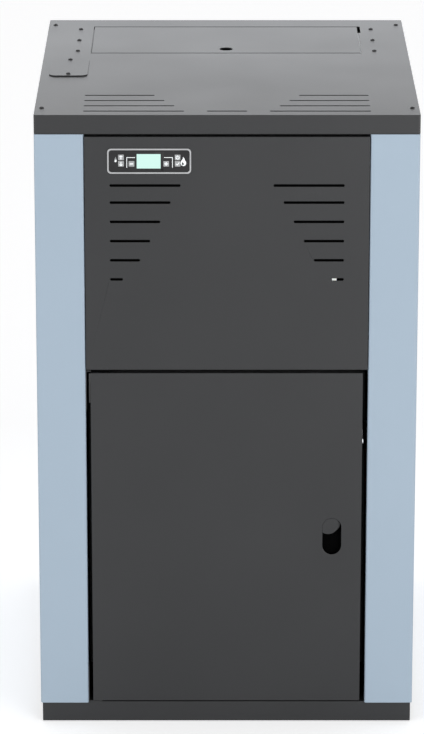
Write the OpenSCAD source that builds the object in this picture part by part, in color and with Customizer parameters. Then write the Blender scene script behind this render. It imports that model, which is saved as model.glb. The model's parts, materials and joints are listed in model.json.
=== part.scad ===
// Pellet boiler in a sheet-metal cabinet: hopper, auger, burner, heat exchanger and smoke fan.
// Millimetres. Origin at the centre of the plinth's underside, +Z up, the front faces -Y.

/* [Cabinet] */
// Width of the cabinet
cab_w = 600; // [560:1:700]
// Depth of the cabinet
cab_d = 690; // [670:1:780]
// Height to the top of the cover
cab_h = 1010; // [990:1:1120]
// Thickness of the casing sheet
sheet = 1.5; // [1:0.1:2]
// Thickness of the plinth sheet
tray_sheet = 2; // [1.5:0.1:3]
// Inside radius of a sheet bend
bend_r = 1.5; // [1:0.1:3]
// Height of the plinth
tray_h = 33.5; // [28:0.5:60]
// Plinth set-back at the sides
tray_inset = 2.5; // [1:0.5:10]
// Plinth set-back at the front
tray_front_inset = 6; // [3:0.5:12]
// Width of each front pillar
pillar_w = 77; // [70:1:90]
// Depth of the pillar's inner return
pillar_return = 24; // [20:1:25]
// Height of the cover's rim
rim_h = 30; // [24:1:45]
// Corner radius of the cover
cover_r = 3; // [1:0.5:8]
// Gap under the cover's rim
rim_gap = 1; // [0.5:0.5:2]

/* [Front] */
// Shadow gap between the cover's rim and the upper panel
panel_top_gap = 5; // [3:0.5:8]
// Height of the upper panel's lower edge
panel_z = 597; // [590:1:640]
// Depth of the upper panel's flanges
panel_flange = 20; // [14:1:24]
// Gap between the upper panel and a pillar
panel_gap = 1; // [0.5:0.5:2]
// Door's gap at the hinge side
door_gap_hinge = 7.6; // [7:0.1:9]
// Door's gap at the lock side
door_gap_lock = 8.2; // [5:0.1:10]
// Door's gap above
door_gap_top = 6; // [5:0.5:10]
// Door's gap below
door_gap_bottom = 3.3; // [3:0.1:6]
// Depth of the door's folded edge
door_depth = 20; // [17:1:22]
// Set-back of the door's face from the pillars
door_inset = 1.5; // [0.5:0.5:3]
// Radius of the door's hinge pins
door_pin_r = 3; // [2.5:0.5:4]
// Width of the finger hole in the door
finger_w = 30; // [24:1:34]
// Height of the finger hole in the door
finger_h = 61; // [50:1:70]
// Diameter of the lock disc behind the finger hole
lock_d = 33.2; // [28:0.2:38]
// Reach of the lock's tongue
lock_reach = 66; // [64:1:68]

/* [Vent slots] */
// Height of a vent slot
vent_h = 4; // [3:0.5:6]
// Distance of the front slots from the pillar
vent_side = 40; // [34:1:60]
// Distance of the lowest front row from the upper panel's top edge
vent_drop = 229.7; // [200:0.1:240]
// Spacing of the front rows
vent_pitch = 31.1; // [24:0.1:34]
// Spacing of the two uppermost front rows
vent_top_pitch = 27.4; // [20:0.1:30]
// Length of a slot in the lowest front row
vent_len = 20; // [14:1:30]
// Length of a slot in the second front row
vent_len_2 = 47; // [30:1:50]
// Growth of the slot in the rows above
vent_step = 15.9; // [10:0.1:18]
// Distance of the top slots from the cover's side
top_vent_side = 76; // [60:1:100]
// Distance of the first top row from the front
top_vent_y = 26; // [22:1:34]
// Spacing of the top rows
top_vent_pitch = 35.4; // [20:0.2:38]
// Length of a slot in the first top row
top_vent_len = 157.5; // [120:0.5:165]
// Shortening of the slot from row to row
top_vent_step = 15.8; // [8:0.2:20]
// Width of a top slot
top_vent_h = 5; // [3:0.5:6]

/* [Hopper lid] */
// Distance of the lid from the cover's side
lid_side = 78; // [75:1:100]
// Depth of the lid
lid_d = 198; // [180:1:205]
// Distance of the lid's rear edge from the back
lid_rear = 56; // [50:1:66]
// Gap before and behind the lid
lid_gap = 3; // [2.5:0.5:4]
// Gap at the sides of the lid
lid_side_gap = 1.2; // [0.8:0.1:2]
// Length of the relief slot at the lid's rear right corner
lid_slot_len = 48; // [30:1:60]
// Height of the lid's folded edge
lid_flange = 14; // [10:1:15]
// Diameter of the finger hole in the lid
lid_hole_d = 21.8; // [18:0.2:26]
// Radius of the lid's hinge pins
lid_pin_r = 2; // [1.5:0.5:2]

/* [Controls] */
// Width of the control panel
ctrl_w = 130.5; // [124:0.5:140]
// Height of the control panel
ctrl_h = 40; // [38:0.5:46]
// Distance of the control panel's centre from the pillar
ctrl_side = 102; // [95:1:105]
// Distance of the control panel's centre from the upper panel's top edge
ctrl_drop = 38.4; // [30:0.1:50]
// Side of a key
key_s = 9; // [7:0.5:9.5]
// Travel of a key
key_travel = 0.8; // [0.4:0.1:1]
// Width of the display window
lcd_w = 38.8; // [34:0.5:42]
// Height of the display window
lcd_h = 23.9; // [20:0.5:26]

/* [Boiler] */
// Room between the boiler body and the cabinet's side
side_room = 100; // [90:1:105]
// Depth of the boiler body
body_d = 277; // [270:1:290]
// Room between the boiler body and the cover's top
top_room = 160; // [150:1:200]
// Height of its underside over the floor
body_z = 75; // [70:1:80]
// Thickness of the outer plates
shell_t = 4; // [3:0.5:6]
// Thickness of the fire-side plates
fire_t = 5; // [4:0.5:6]
// Width of the water jacket beside the firebox
jacket_w = 40; // [35:1:45]
// Depth of the firebox and the ash chamber
box_d = 222; // [215:1:225]
// Height of the firebox
firebox_h = 315; // [290:1:330]
// Height of the ash chamber
ash_h = 125; // [115:1:128]
// Radius of the fire tubes
tube_r = 24; // [20:1:26]
// Half the side of the burn pot
pot_half = 50; // [42:1:54]
// Height of the burn pot
pot_h = 50; // [40:1:60]

/* [Feed] */
// Slope of the auger
auger_angle = 45; // [43:1:47]
// Outside radius of the auger tube
tube_out_r = 30; // [28:0.5:31]
// Wall of the auger tube
tube_wall = 2.5; // [2:0.5:3]
// Radius of the auger's flight
flight_r = 25.4; // [22:0.1:25.5]
// Axial thickness of the flight
flight_t = 3; // [2:0.5:4]
// Pitch of the flight
flight_pitch = 50; // [40:1:60]
// Radius of the auger's shaft
shaft_r = 9; // [7:0.5:11]
// Outside width of the pellet chute
chute_w = 64; // [58:1:68]
// Wall of the hopper and the chute
hopper_t = 1.5; // [1:0.5:2]

/* [Smoke path] */
// Outside radius of the flue spigot
flue_r = 40; // [38:0.5:42]
// Outside radius of the air intake
intake_r = 25; // [20:0.5:28]
// Length of the stubs behind the cabinet
stub_len = 50; // [45:1:60]
// Radius of the fan's impeller
fan_r = 55; // [50:1:57]
// Number of impeller blades
blades = 12; // [8:1:16]
// Outside radius of the water pipes
pipe_r = 13; // [11:0.5:14]

/* [Hidden] */
$fn = 48;
eps = 0.01;

// Colours
graphite = [0.27, 0.28, 0.29];
pale_blue = [0.66, 0.73, 0.80];
zinc = [0.72, 0.73, 0.75];
steel = [0.45, 0.46, 0.48];
iron = [0.24, 0.23, 0.23];
brass = [0.78, 0.62, 0.32];
white = [0.92, 0.92, 0.90];
black = [0.08, 0.08, 0.09];

// Clearances
fit = 0.3;
pin_fit = 0.1;
slide_fit = 2;

// Derived heights and faces of the casing
half_w = cab_w / 2;
half_d = cab_d / 2;
front_y = -half_d;
rim_z = cab_h - rim_h;
side_top = rim_z - rim_gap;
plate_z = cab_h - sheet;
pillar_in = half_w - pillar_w;
panel_half = pillar_in - panel_gap;
panel_top = rim_z - panel_top_gap;
rear_in = half_d - sheet;
rear_lap = 20;
frame_w = 25;
frame_gap = fit + sheet;

// Slots, controls and lid
vent_x = pillar_in - vent_side;
vent_z = panel_top - vent_drop;
top_vent_x = half_w - top_vent_side;
ctrl_x = pillar_in - ctrl_side;
ctrl_z = panel_top - ctrl_drop;
lid_w = cab_w - 2 * lid_side;
lid_back = half_d - lid_rear;
lid_front = lid_back - lid_d;

// Door
door_left = -pillar_in + door_gap_hinge;
door_right = pillar_in - door_gap_lock;
door_z = tray_h + door_gap_bottom;
door_top = panel_z - door_gap_top;
door_y = front_y + door_inset;
door_in_y = door_y + sheet;
hinge_x = door_left + 9.4;
hinge_y = door_y + 10;
bracket_t = 2;
finger_x = door_right - 46.8;
finger_z = 287.4;
lock_x = finger_x - 6;
lock_z = 338.7;
disc_t = 3;
tongue_t = 2.5;
tongue_w = 18;
bridge_y = door_in_y + 2 * fit + disc_t;
tongue_y = max(front_y + pillar_return, door_y + door_depth) + 2;
catch_z = 481;

// Boiler body
body_y = front_y + 48;
body_back = body_y + body_d;
body_w = cab_w - 2 * side_room;
body_top = cab_h - top_room;
box_w = body_w - 2 * jacket_w;
ash_z = body_z + 10;
grate_z = ash_z + ash_h;
grate_t = 15;
fire_z = grate_z + grate_t;
fire_top = fire_z + firebox_h;
box_back = body_y + box_d;
pot_y = body_y + 112;
seat_t = 6;
seat_z = fire_z + seat_t;
collar_h = 31;
pot_z = seat_z + collar_h;
pot_rim = 10;
pot_rim_t = 7;
tube_pitch = box_w / 4 - 6;
tube_cols = [for (k = [-1.5:1:1.5]) k * tube_pitch];
tube_rows = [70, 170];
tube_t = 3;
vault_h = 55;

// Fire door and ash pan
fdoor_half = box_w / 2 + 12;
knuckle_h = 30;
lug_h = 12;
fdoor_pin_r = 3;
fdoor_y = body_y - 4;
fdoor_hinge_x = -fdoor_half - 8;
fdoor_hinge_y = fdoor_y - 8;
fdoor_knuckles = [fire_z + 30, fire_top - 60];
handle_x = fdoor_half - 34;
handle_z = (fire_z + fire_top) / 2;
pan_half = box_w / 2 - 10;
pan_len = box_d - 16;
pan_z = ash_z + 5;
pan_h = 108;

// Auger, chute and hopper
auger_y = rear_in - 153.5;
auger_z = 445;
auger_up = (auger_y - body_back - 24.74) / sin(auger_angle);
auger_down = 95;
cap_t = 4;
drop_at = auger_up - 26;
drop_y = auger_y - drop_at * sin(auger_angle);
drop_z = auger_z + drop_at * cos(auger_angle);
chute_end_y = pot_y + 55;
chute_end_z = pot_z + 88;
chute_dy = drop_y - chute_end_y;
chute_dz = drop_z - chute_end_z;
chute_lean = atan(chute_dy / chute_dz);
chute_len = norm([chute_dy, chute_dz]);
throat = 62;
throat_z = auger_z + 38;
mouth_half = lid_w / 2 - 14;
mouth_y0 = lid_front + 10;
mouth_y1 = lid_back - 13;
hopper_half = half_w - 50;
hopper_y0 = body_back + 70;
hopper_y1 = rear_in - 18;
hopper_top = rim_z - 20;
hopper_knee = hopper_top - 260;
seat_rim_z = plate_z - lid_flange - 3;
lid_pin_y = lid_back - 5.5;
lid_pin_z = plate_z - 4.5;
lid_pin_xs = [62 - lid_w / 2, lid_w / 2 - 62];
ear_w = 24;
ear_back = 3.5;
lid_slot_w = 5;

// Smoke path
smoke_half = box_w / 2 + 5;
duct_x0 = -smoke_half - 30;
duct_x1 = duct_x0 + 108;
duct_y0 = body_back + 2;
duct_d = 40;
fan_x0 = duct_x1 + 0.5;
fan_w = 60;
volute_r0 = fan_r + 7;
volute_grow = 24;
fan_y = body_back + volute_r0 + volute_grow * 2 / 3 + 4;
fan_z = 290;
fan_out_h = 54;
fan_out_y = fan_y + volute_r0 + 5;
fan_wall = 2;
flue_x = fan_x0 + fan_w / 2;
flue_z = fan_z - volute_r0 - volute_grow + fan_out_h / 2 + 2;
intake_z = ash_z + 45;
motor_r = 36;
stub_y = half_d + stub_len;

// Water side
pipe_x = body_w / 2 - 25;
supply_z = body_top - 380;
return_z = 120;
pump_y = half_d - 93;
pump_r = 44;
vessel_r = 125;
vessel_t = 78;
vessel_x = half_w - 12 - vessel_t;
vessel_y = half_d - 160;
vessel_z = 300;
vessel_nozzle = vessel_t / 4;
drain_x = -pipe_x;
drain_z = 100;

// Control panel and power inlet
ctrl_y = front_y - 2;
fascia_y = front_y - 1;
bezel_t = 2.2;
bezel_depth = 9;
board_y = fascia_y + 16;
key_top_z = ctrl_z + 6;
key_low_z = ctrl_z - 4.2;
key_names = ["key_back", "key_menu", "key_minus", "key_plus", "key_set", "key_start"];
key_xs = [-43.8, -43.8, -27.5, 26.4, 44.2, 44.2];
key_zs = [key_top_z, key_low_z, key_low_z, key_low_z, key_low_z, key_top_z];
inlet_x = half_w - 100;
inlet_z = hopper_knee - 110;
rear_seam_z = inlet_z - 60;

// Outline of a sheet folded at right angles along centre-line points
function turn(p, q) = (q - p) / norm(q - p);
function left_of(p, q) = [-turn(p, q)[1], turn(p, q)[0]];
function cross2(u, v) = u[0] * v[1] - u[1] * v[0];
function fold_side(p, t, r, side) = concat(
    [p[0] + side * t / 2 * left_of(p[0], p[1])],
    [for (i = [1:len(p) - 2]) for (a = [0:22.5:90])
        let (u = turn(p[i - 1], p[i]), v = turn(p[i], p[i + 1]), m = r + t / 2,
            rad = m - side * cross2(u, v) * t / 2)
        p[i] - u * m + v * m + rad * (u * sin(a) - v * cos(a))],
    [p[len(p) - 1] + side * t / 2 * left_of(p[len(p) - 2], p[len(p) - 1])]);
function reverse(list) = [for (i = [len(list) - 1:-1:0]) list[i]];
module folded(p, t, h) {
    linear_extrude(h) polygon(concat(fold_side(p, t, bend_r, 1), reverse(fold_side(p, t, bend_r, -1))));
}

// Rectangle with round corners, centred
module rounded(w, d, r) {
    union() {
        square([w - 2 * r, d], center = true);
        square([w, d - 2 * r], center = true);
        for (x = [-1, 1], y = [-1, 1]) translate([x * (w / 2 - r), y * (d / 2 - r)]) circle(r);
    }
}
module plate(w, d, t, r) {
    linear_extrude(t) rounded(w, d, r);
}
module block(x0, x1, y0, y1, z0, z1) {
    translate([x0, y0, z0]) cube([x1 - x0, y1 - y0, z1 - z0]);
}
// Cylinder along +Y, +X or +Z from a start point
module rod_y(x, y, z, r, len) {
    translate([x, y, z]) rotate([-90, 0, 0]) cylinder(r = r, h = len);
}
module rod_x(x, y, z, r, len) {
    translate([x, y, z]) rotate([0, 90, 0]) cylinder(r = r, h = len);
}
module rod_z(x, y, z, r, len) {
    translate([x, y, z]) cylinder(r = r, h = len);
}
// Slot with round ends, long along X, cut along Y
module slot_y(x, z, w, h, y0, len) {
    translate([x, y0, z]) rotate([-90, 0, 0]) linear_extrude(len) rounded(w, h, h / 2 - eps);
}
// Local frame of the auger: +Z runs up the tube towards the burner
module auger_frame() {
    translate([0, auger_y, auger_z]) rotate([auger_angle, 0, 0]) children();
}
// Local frame of the chute: +Z runs up from the burn pot to the auger
module chute_frame() {
    translate([0, chute_end_y, chute_end_z]) rotate([-chute_lean, 0, 0]) children();
}
module square_tube(w, t, len) {
    difference() {
        translate([-w / 2, -w / 2, 0]) cube([w, w, len]);
        translate([-w / 2 + t, -w / 2 + t, -1]) cube([w - 2 * t, w - 2 * t, len + 2]);
    }
}

// Plinth with a closed floor and an inward top flange
module base_tray() {
    x = half_w - tray_inset;
    y0 = front_y + tray_front_inset;
    y1 = rear_in - fit;
    flange = 25;
    color(graphite) difference() {
        block(-x, x, y0, y1, 0, tray_h);
        block(-x + tray_sheet, x - tray_sheet, y0 + tray_sheet, y1 - tray_sheet, tray_sheet,
            tray_h - tray_sheet);
        block(-x + flange, x - flange, y0 + flange, y1 - flange, tray_sheet, tray_h + 1);
    }
}

// Side, rear return, front pillar and inner return, folded from one sheet
module side_panel(side) {
    t = sheet / 2;
    x = half_w - t;
    y = half_d - t;
    foot = 18;
    z0 = tray_h;
    path = [[x - rear_lap, y], [x, y], [x, -y], [pillar_in + t, -y], [pillar_in + t, -y + pillar_return]];
    flange_y0 = -half_d + sheet + 6;
    flange_y1 = half_d - sheet - rear_lap;
    color(pale_blue) mirror([side < 0 ? 1 : 0, 0, 0]) union() {
        translate([0, 0, z0]) folded(path, sheet, side_top - z0);
        block(x - foot, x, flange_y0, flange_y1, z0, z0 + sheet);
        block(x - foot, x, flange_y0, flange_y1, side_top - sheet, side_top);
        block(pillar_in + t, x, -half_d + sheet, -half_d + 10, z0, z0 + sheet);
    }
}
module left_side_panel() {
    side_panel(-1);
}
module right_side_panel() {
    side_panel(1);
}

// Two rear panels: the upper with the power inlet and the slots, the lower with flue, air and water
module rear_sheet(z0, z1) {
    x = half_w - sheet - 3;
    y0 = rear_in - sheet;
    slot_len = half_w * 0.4;
    color(pale_blue) difference() {
        block(-x, x, y0, rear_in, z0, z1);
        rod_y(flue_x, y0 - 1, flue_z, flue_r + 2, sheet + 2);
        rod_y(0, y0 - 1, intake_z, intake_r + 2, sheet + 2);
        rod_y(pipe_x, y0 - 1, supply_z, pipe_r + 2, sheet + 2);
        rod_y(pipe_x, y0 - 1, return_z, pipe_r + 2, sheet + 2);
        rod_y(drain_x, y0 - 1, drain_z, pipe_r + 1, sheet + 2);
        block(inlet_x - 23, inlet_x + 23, y0 - 1, rear_in + 1, inlet_z - 26, inlet_z + 26);
        for (row = [0:5], s = [-1, 1])
            slot_y(s * half_w / 2, side_top - 119 - row * 16, slot_len, 5, y0 - 1, sheet + 2);
    }
}
module rear_panel() {
    rear_sheet(rear_seam_z + fit, side_top - sheet - fit);
}
module rear_lower_panel() {
    rear_sheet(tray_h + sheet + fit, rear_seam_z);
}

// Welded ring of channel that carries the cover on the side panels
module top_frame() {
    x = half_w - frame_gap;
    y = half_d - frame_gap;
    color(steel) difference() {
        translate([0, 0, side_top]) plate(2 * x, 2 * y, plate_z - side_top, cover_r);
        block(-x + sheet, x - sheet, -y + sheet, y - sheet, side_top + sheet, plate_z - sheet);
        block(-x + frame_w, x - frame_w, -y + frame_w, y - frame_w, side_top - 1, plate_z + 1);
        for (p = screw_points()) rod_z(p[0], p[1], plate_z - sheet - 1, 2.2, sheet + 2);
    }
}

// Top slots: centre x, row, length
function top_slots() = concat(
    [for (row = [0:3]) for (s = [-1, 1])
        [s * (top_vent_x - (top_vent_len - row * top_vent_step) / 2), row,
            top_vent_len - row * top_vent_step]],
    [[0, 0, 63]]);
module top_cover() {
    color(graphite) difference() {
        translate([0, 0, rim_z]) plate(cab_w, cab_d, rim_h, cover_r);
        translate([0, 0, rim_z - 1])
            plate(cab_w - 2 * sheet, cab_d - 2 * sheet, rim_h - sheet + 1, cover_r - sheet / 2);
        block(-lid_w / 2 - lid_side_gap, lid_w / 2 + lid_side_gap, lid_front - lid_gap, lid_back + lid_gap,
            plate_z - 1, cab_h + 1);
        block(lid_w / 2, lid_w / 2 + lid_slot_w, lid_back + lid_gap - lid_slot_len, lid_back + lid_gap,
            plate_z - 1, cab_h + 1);
        for (s = top_slots())
            translate([s[0], front_y + top_vent_y + s[1] * top_vent_pitch, plate_z - 1])
                plate(s[2], top_vent_h, sheet + 2, top_vent_h / 2 - eps);
        for (p = concat(screw_points(), service_screws)) rod_z(p[0], p[1], plate_z - 4, 2.2, sheet + 5);
    }
}

function screw_points() = concat(
    [for (x = [-1, 1], y = [front_y + 46, half_d - 41]) [x * (half_w - 11), y]],
    [for (x = [-1, 1], y = [lid_front + 14, lid_front + 95, lid_back - 18]) [x * (half_w - 55), y]]);
service_x = -half_w + 45;
service_y = front_y + 325;
service_w = 62;
service_d = 125;
service_h = 2;
service_screws = [[service_x, service_y - 51], [service_x, service_y + 52]];
module pan_screw(x, y, z) {
    translate([x, y, z]) {
        rotate_extrude() polygon([[0, -4], [1.9, -4], [1.9, 0], [3.6, 0], [3.4, 1.2], [2.2, 1.9], [0, 2]]);
    }
}
module cover_screws() {
    color(zinc) for (p = screw_points()) pan_screw(p[0], p[1], cab_h);
    color(zinc) for (p = service_screws) pan_screw(p[0], p[1], cab_h + service_h);
}
module service_plate() {
    color(graphite) difference() {
        translate([service_x, service_y, cab_h]) plate(service_w, service_d, service_h, 12);
        for (p = service_screws) rod_z(p[0], p[1], cab_h - 1, 2.2, service_h + 2);
    }
}

// Front slots, row 0 lowest
function vent_row_len(row) = row == 0 ? vent_len : vent_len_2 + (row - 1) * vent_step;
function vent_row_z(row) = vent_z + min(row, 4) * vent_pitch + (row == 5 ? vent_top_pitch : 0);

// Upper front panel, a shallow tray with the vent slots and the control opening
module upper_front_panel() {
    y = front_y;
    color(graphite) difference() {
        union() {
            block(-panel_half, panel_half, y, y + panel_flange, panel_z, panel_top);
            for (s = [-1, 1], z = [panel_z + 50, panel_top - 50])
                rod_x(s > 0 ? panel_half - sheet / 2 : -pillar_in + fit, y + panel_flange / 2, z, 3,
                    panel_gap - fit + sheet / 2);
        }
        block(-panel_half + sheet, panel_half - sheet, y + sheet, y + panel_flange + 1, panel_z + sheet,
            panel_top - sheet);
        for (row = [0:5], s = [-1, 1]) {
            len = vent_row_len(row);
            slot_y(s * (vent_x - len / 2), vent_row_z(row), len, vent_h, y - 1, sheet + 2);
        }
        block(-ctrl_x - ctrl_w / 2 + 3, -ctrl_x + ctrl_w / 2 - 3, y - 1, y + sheet + 1,
            ctrl_z - ctrl_h / 2 + 3, ctrl_z + ctrl_h / 2 - 3);
    }
}

module ctrl_plate(grow, y0, t, r) {
    translate([-ctrl_x, y0, ctrl_z]) rotate([-90, 0, 0])
        linear_extrude(t) rounded(ctrl_w + 2 * grow, ctrl_h + 2 * grow, r);
}
module control_bezel() {
    color([0.62, 0.63, 0.64]) difference() {
        union() {
            ctrl_plate(0, ctrl_y, front_y - ctrl_y, 6);
            ctrl_plate(-3 - fit, ctrl_y, bezel_depth, 4);
        }
        ctrl_plate(-bezel_t - fit / 2, ctrl_y - 1, 3, 4.5);
        ctrl_plate(-3 - 2 * fit - 1.2, ctrl_y - 1, bezel_depth + 2, 3);
    }
}
module control_fascia() {
    color(black) difference() {
        ctrl_plate(-bezel_t - fit, ctrl_y + 0.5, 1.4, 4.4);
        lcd_block(ctrl_y - 1, 4, 0);
        for (i = [0:5]) key_block(i, key_s + 2 * fit, ctrl_y - 1, 5);
    }
}
module lcd_block(y0, t, grow) {
    block(-ctrl_x - lcd_w / 2 - grow, -ctrl_x + lcd_w / 2 + grow, y0, y0 + t,
        ctrl_z - lcd_h / 2 - grow, ctrl_z + lcd_h / 2 + grow);
}
module display() {
    color([0.82, 0.98, 0.94]) union() {
        lcd_block(ctrl_y + 1, 2, -fit);
        lcd_block(ctrl_y + 1.9 + fit, 9, 1.5);
    }
}
module control_board() {
    lcd_back = ctrl_y + 1.9 + fit + 9;
    color([0.10, 0.32, 0.20]) union() {
        difference() {
            block(-ctrl_x - 60, -ctrl_x + 60, lcd_back, lcd_back + 1.6, ctrl_z - 30, ctrl_z + 17);
            for (x = [-56, 56], z = [-26, 13]) rod_y(-ctrl_x + x, lcd_back - 1, ctrl_z + z, 1.6, 4);
        }
        for (i = [0:5]) block(-ctrl_x + key_xs[i] - 3, -ctrl_x + key_xs[i] + 3, lcd_back - 5, lcd_back,
            key_zs[i] - 3, key_zs[i] + 3);
        for (x = [-40:16:40])
            block(-ctrl_x + x - 5, -ctrl_x + x + 5, lcd_back + 1.6, lcd_back + 9, ctrl_z - 28, ctrl_z - 17);
        block(-ctrl_x - 20, -ctrl_x + 16, lcd_back + 1.6, lcd_back + 20, ctrl_z - 10, ctrl_z + 10);
        for (s = [-1, 1]) block(-ctrl_x + s * 56 - 3, -ctrl_x + s * 56 + 3, front_y + sheet, lcd_back,
            ctrl_z - 29, ctrl_z - 23);
    }
}
module key_block(i, s, y0, t) {
    block(-ctrl_x + key_xs[i] - s / 2, -ctrl_x + key_xs[i] + s / 2, y0, y0 + t, key_zs[i] - s / 2,
        key_zs[i] + s / 2);
}
module control_key(i) {
    lcd_back = ctrl_y + 1.9 + fit + 9;
    color([0.85, 0.86, 0.86]) union() {
        key_block(i, key_s, ctrl_y + 0.2, 2.6);
        key_block(i, 4, ctrl_y + 2, lcd_back - 5 - key_travel - 0.1 - ctrl_y - 2);
    }
}
module key_back() {
    control_key(0);
}
module key_menu() {
    control_key(1);
}
module key_minus() {
    control_key(2);
}
module key_plus() {
    control_key(3);
}
module key_set() {
    control_key(4);
}
module key_start() {
    control_key(5);
}

// Terminal block behind the lowest right slot, on a bracket from the upper panel
module terminal_block() {
    x0 = vent_x - vent_len;
    y0 = front_y + 11;
    color(white) difference() {
        union() {
            block(x0 - 26, x0 + 9, y0, y0 + 18, vent_z - 9, vent_z + 7);
            block(x0 - 30, x0 - 24, front_y + sheet, y0 + 18, vent_z - 12, vent_z - 3);
            block(x0 + 1.5, x0 + 8.8, front_y + fit, y0 + 1, vent_z - vent_h / 2 + fit,
                vent_z + vent_h / 2 - fit);
        }
        for (i = [0:3]) rod_y(x0 - 20 + i * 8, y0 - 1, vent_z, 2.2, 8);
    }
}

// Hinge brackets on the pillar's return, each with the bearing hole of a door pin
module hinge_bracket(z0, leaf_z0, leaf_h) {
    x0 = -pillar_in;
    difference() {
        union() {
            block(x0, x0 + sheet, door_y + 1.5, hinge_y + 10, leaf_z0, leaf_z0 + leaf_h);
            block(x0, hinge_x, hinge_y - 7, hinge_y + 7, z0, z0 + bracket_t);
            rod_z(hinge_x, hinge_y, z0, 7, bracket_t);
        }
        rod_z(hinge_x, hinge_y, z0 - 1, door_pin_r + pin_fit, bracket_t + 2);
    }
}
module hinge_brackets() {
    color(zinc) hinge_bracket(door_top + 1.6, door_top - 63, 63 + 1.6 + bracket_t);
    color(zinc) hinge_bracket(tray_h, tray_h, 64);
}
module magnet_catch() {
    x1 = pillar_in;
    y0 = door_y + door_depth + 1 + fit;
    color(white) union() {
        difference() {
            block(x1 - 20, x1, y0, y0 + 16, catch_z - 21, catch_z + 21);
            for (z = [-13, 13]) rod_x(x1 - 21, y0 + 9, catch_z + z, 2.5, 22);
        }
        for (z = [-7, 7]) block(x1 - 17, x1 - 11, y0 - 0.1, y0 + 2, catch_z + z - 5, catch_z + z + 5);
    }
}

// Boiler body: outer shell, water jacket, firebox, ash chamber, fire tubes and rear tunnels
module fire_side(grow) {
    w = box_w / 2 + grow;
    block(-w, w, body_y - 1, box_back + grow, fire_z - grow, fire_top + grow);
    block(-w, w, body_y - 1, box_back + grow, ash_z - grow, ash_z + ash_h + grow);
    block(-pot_half - 20 - grow, pot_half + 20 + grow, pot_y - pot_half - 20 - grow,
        pot_y + pot_half + 20 + grow,
        grate_z - 1, fire_z + 1);
    for (x = tube_cols, y = tube_rows)
        rod_z(x, body_y + y, fire_top - 1, tube_r + (grow > 0 ? tube_t : 0), body_top - fire_top + 3);
    chute_frame() translate([0, 0, chute_len * 0.6]) cube([chute_w + 2 * slide_fit + 2 * grow,
        chute_w + 2 * slide_fit + 2 * grow, chute_len], center = true);
    rod_y(0, box_back - 1, seat_z + 14, 9 + grow, body_back - box_back + 4);
    rod_y(0, box_back - 1, intake_z, intake_r + fit + grow, body_back - box_back + 4);
}
module boiler_body() {
    w = body_w / 2;
    color(steel) union() {
        difference() {
            block(-w, w, body_y, body_back, body_z, body_top);
            difference() {
                block(-w + shell_t, w - shell_t, body_y + fire_t, body_back - shell_t, body_z + shell_t,
                    body_top - fire_t);
                fire_side(fire_t);
            }
            fire_side(0);
            for (z = [supply_z, return_z]) rod_y(pipe_x, body_back - 20, z, pipe_r + fit, 30);
            rod_y(drain_x, body_back - 20, drain_z, pipe_r - 3 + fit, 30);
        }
        for (s = [-1, 1]) difference() {
            block(s * (w - 30) - 20, s * (w - 30) + 20, body_y + 20, body_back - 20, tray_sheet, body_z);
            block(s * (w - 30) - 16, s * (w - 30) + 16, body_y + 10, body_back - 10, tray_sheet + 4,
                body_z - 4);
        }
        for (z = fdoor_knuckles) {
            block(fdoor_hinge_x - 6, fdoor_hinge_x + 6, fdoor_hinge_y, body_y + eps, z - lug_h - fit,
                z - fit);
            rod_z(fdoor_hinge_x, fdoor_hinge_y, z - lug_h - fit, 6, lug_h);
            rod_z(fdoor_hinge_x, fdoor_hinge_y, z - fit - eps, fdoor_pin_r, knuckle_h - 2);
        }
    }
}
// Semi-circular baffles on rods that slow the gas in the fire tubes
module turbulators() {
    rod_len = body_top - fire_top - 20;
    baffle_pitch = (rod_len - 74) / 6;
    color(steel) for (x = tube_cols, y = tube_rows) translate([x, body_y + y, body_top - rod_len]) union() {
        cylinder(r = 3, h = rod_len + 3);
        translate([-tube_r - 6, -3, rod_len]) cube([2 * tube_r + 12, 6, 3]);
        for (i = [0:6]) rotate([0, 0, i * 90]) translate([0, 0, 8 + i * baffle_pitch])
            intersection() {
                cylinder(r = tube_r - 3, h = 2);
                translate([-tube_r, -2, -1]) cube([2 * tube_r, 2 * tube_r, 4]);
            }
    }
}

// Smoke box over the tubes, with its rear outlet and its screwed cover
smoke_y0 = body_y + 8;
smoke_y1 = body_back - 4;
module smoke_box() {
    color(steel) difference() {
        block(-smoke_half, smoke_half, smoke_y0, smoke_y1, body_top, body_top + vault_h);
        block(-smoke_half + 3, smoke_half - 3, smoke_y0 + 3, smoke_y1 - 3, body_top - 1,
            body_top + vault_h + 1);
        block(duct_x0 + 35, duct_x1 - 5, smoke_y1 - 10, smoke_y1 + 1, body_top + 6, body_top + vault_h - 6);
    }
}
module exchanger_cover() {
    z = body_top + vault_h;
    color(steel) union() {
        block(-smoke_half, smoke_half, smoke_y0, smoke_y1, z, z + 4);
        for (x = [45 - smoke_half, smoke_half - 45])
            block(x - 12, x + 12, smoke_y0 + 20, smoke_y1 - 20, z + 4, z + 10);
        translate([0, (smoke_y0 + smoke_y1) / 2, z + 4]) difference() {
            translate([-45, -6, 0]) cube([90, 12, 26]);
            translate([-35, -7, -1]) cube([70, 14, 19]);
        }
        for (x = [15 - smoke_half, smoke_half - 15], y = [smoke_y0 + 15, smoke_y1 - 15]) {
            translate([x, y, z + 4]) cylinder(r = 8, h = 6, $fn = 6);
            rod_z(x, y, z + 4, 3, 14);
        }
    }
}

module insulation() {
    w = body_w / 2;
    color([0.80, 0.78, 0.62]) for (s = [-1, 1]) difference() {
        block(s > 0 ? w : -w - 20, s > 0 ? w + 20 : -w, body_y + 6, body_back - 4, body_z + 8,
            body_top - 6);
        for (z = [body_z + 150, body_top - 150]) for (k = [-1, 1])
            translate([s * (w + 20), 0, z + k * 12]) rotate([-90, 0, 0]) translate([0, 0, body_y])
                cylinder(r = 2, h = body_d);
    }
}

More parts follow.
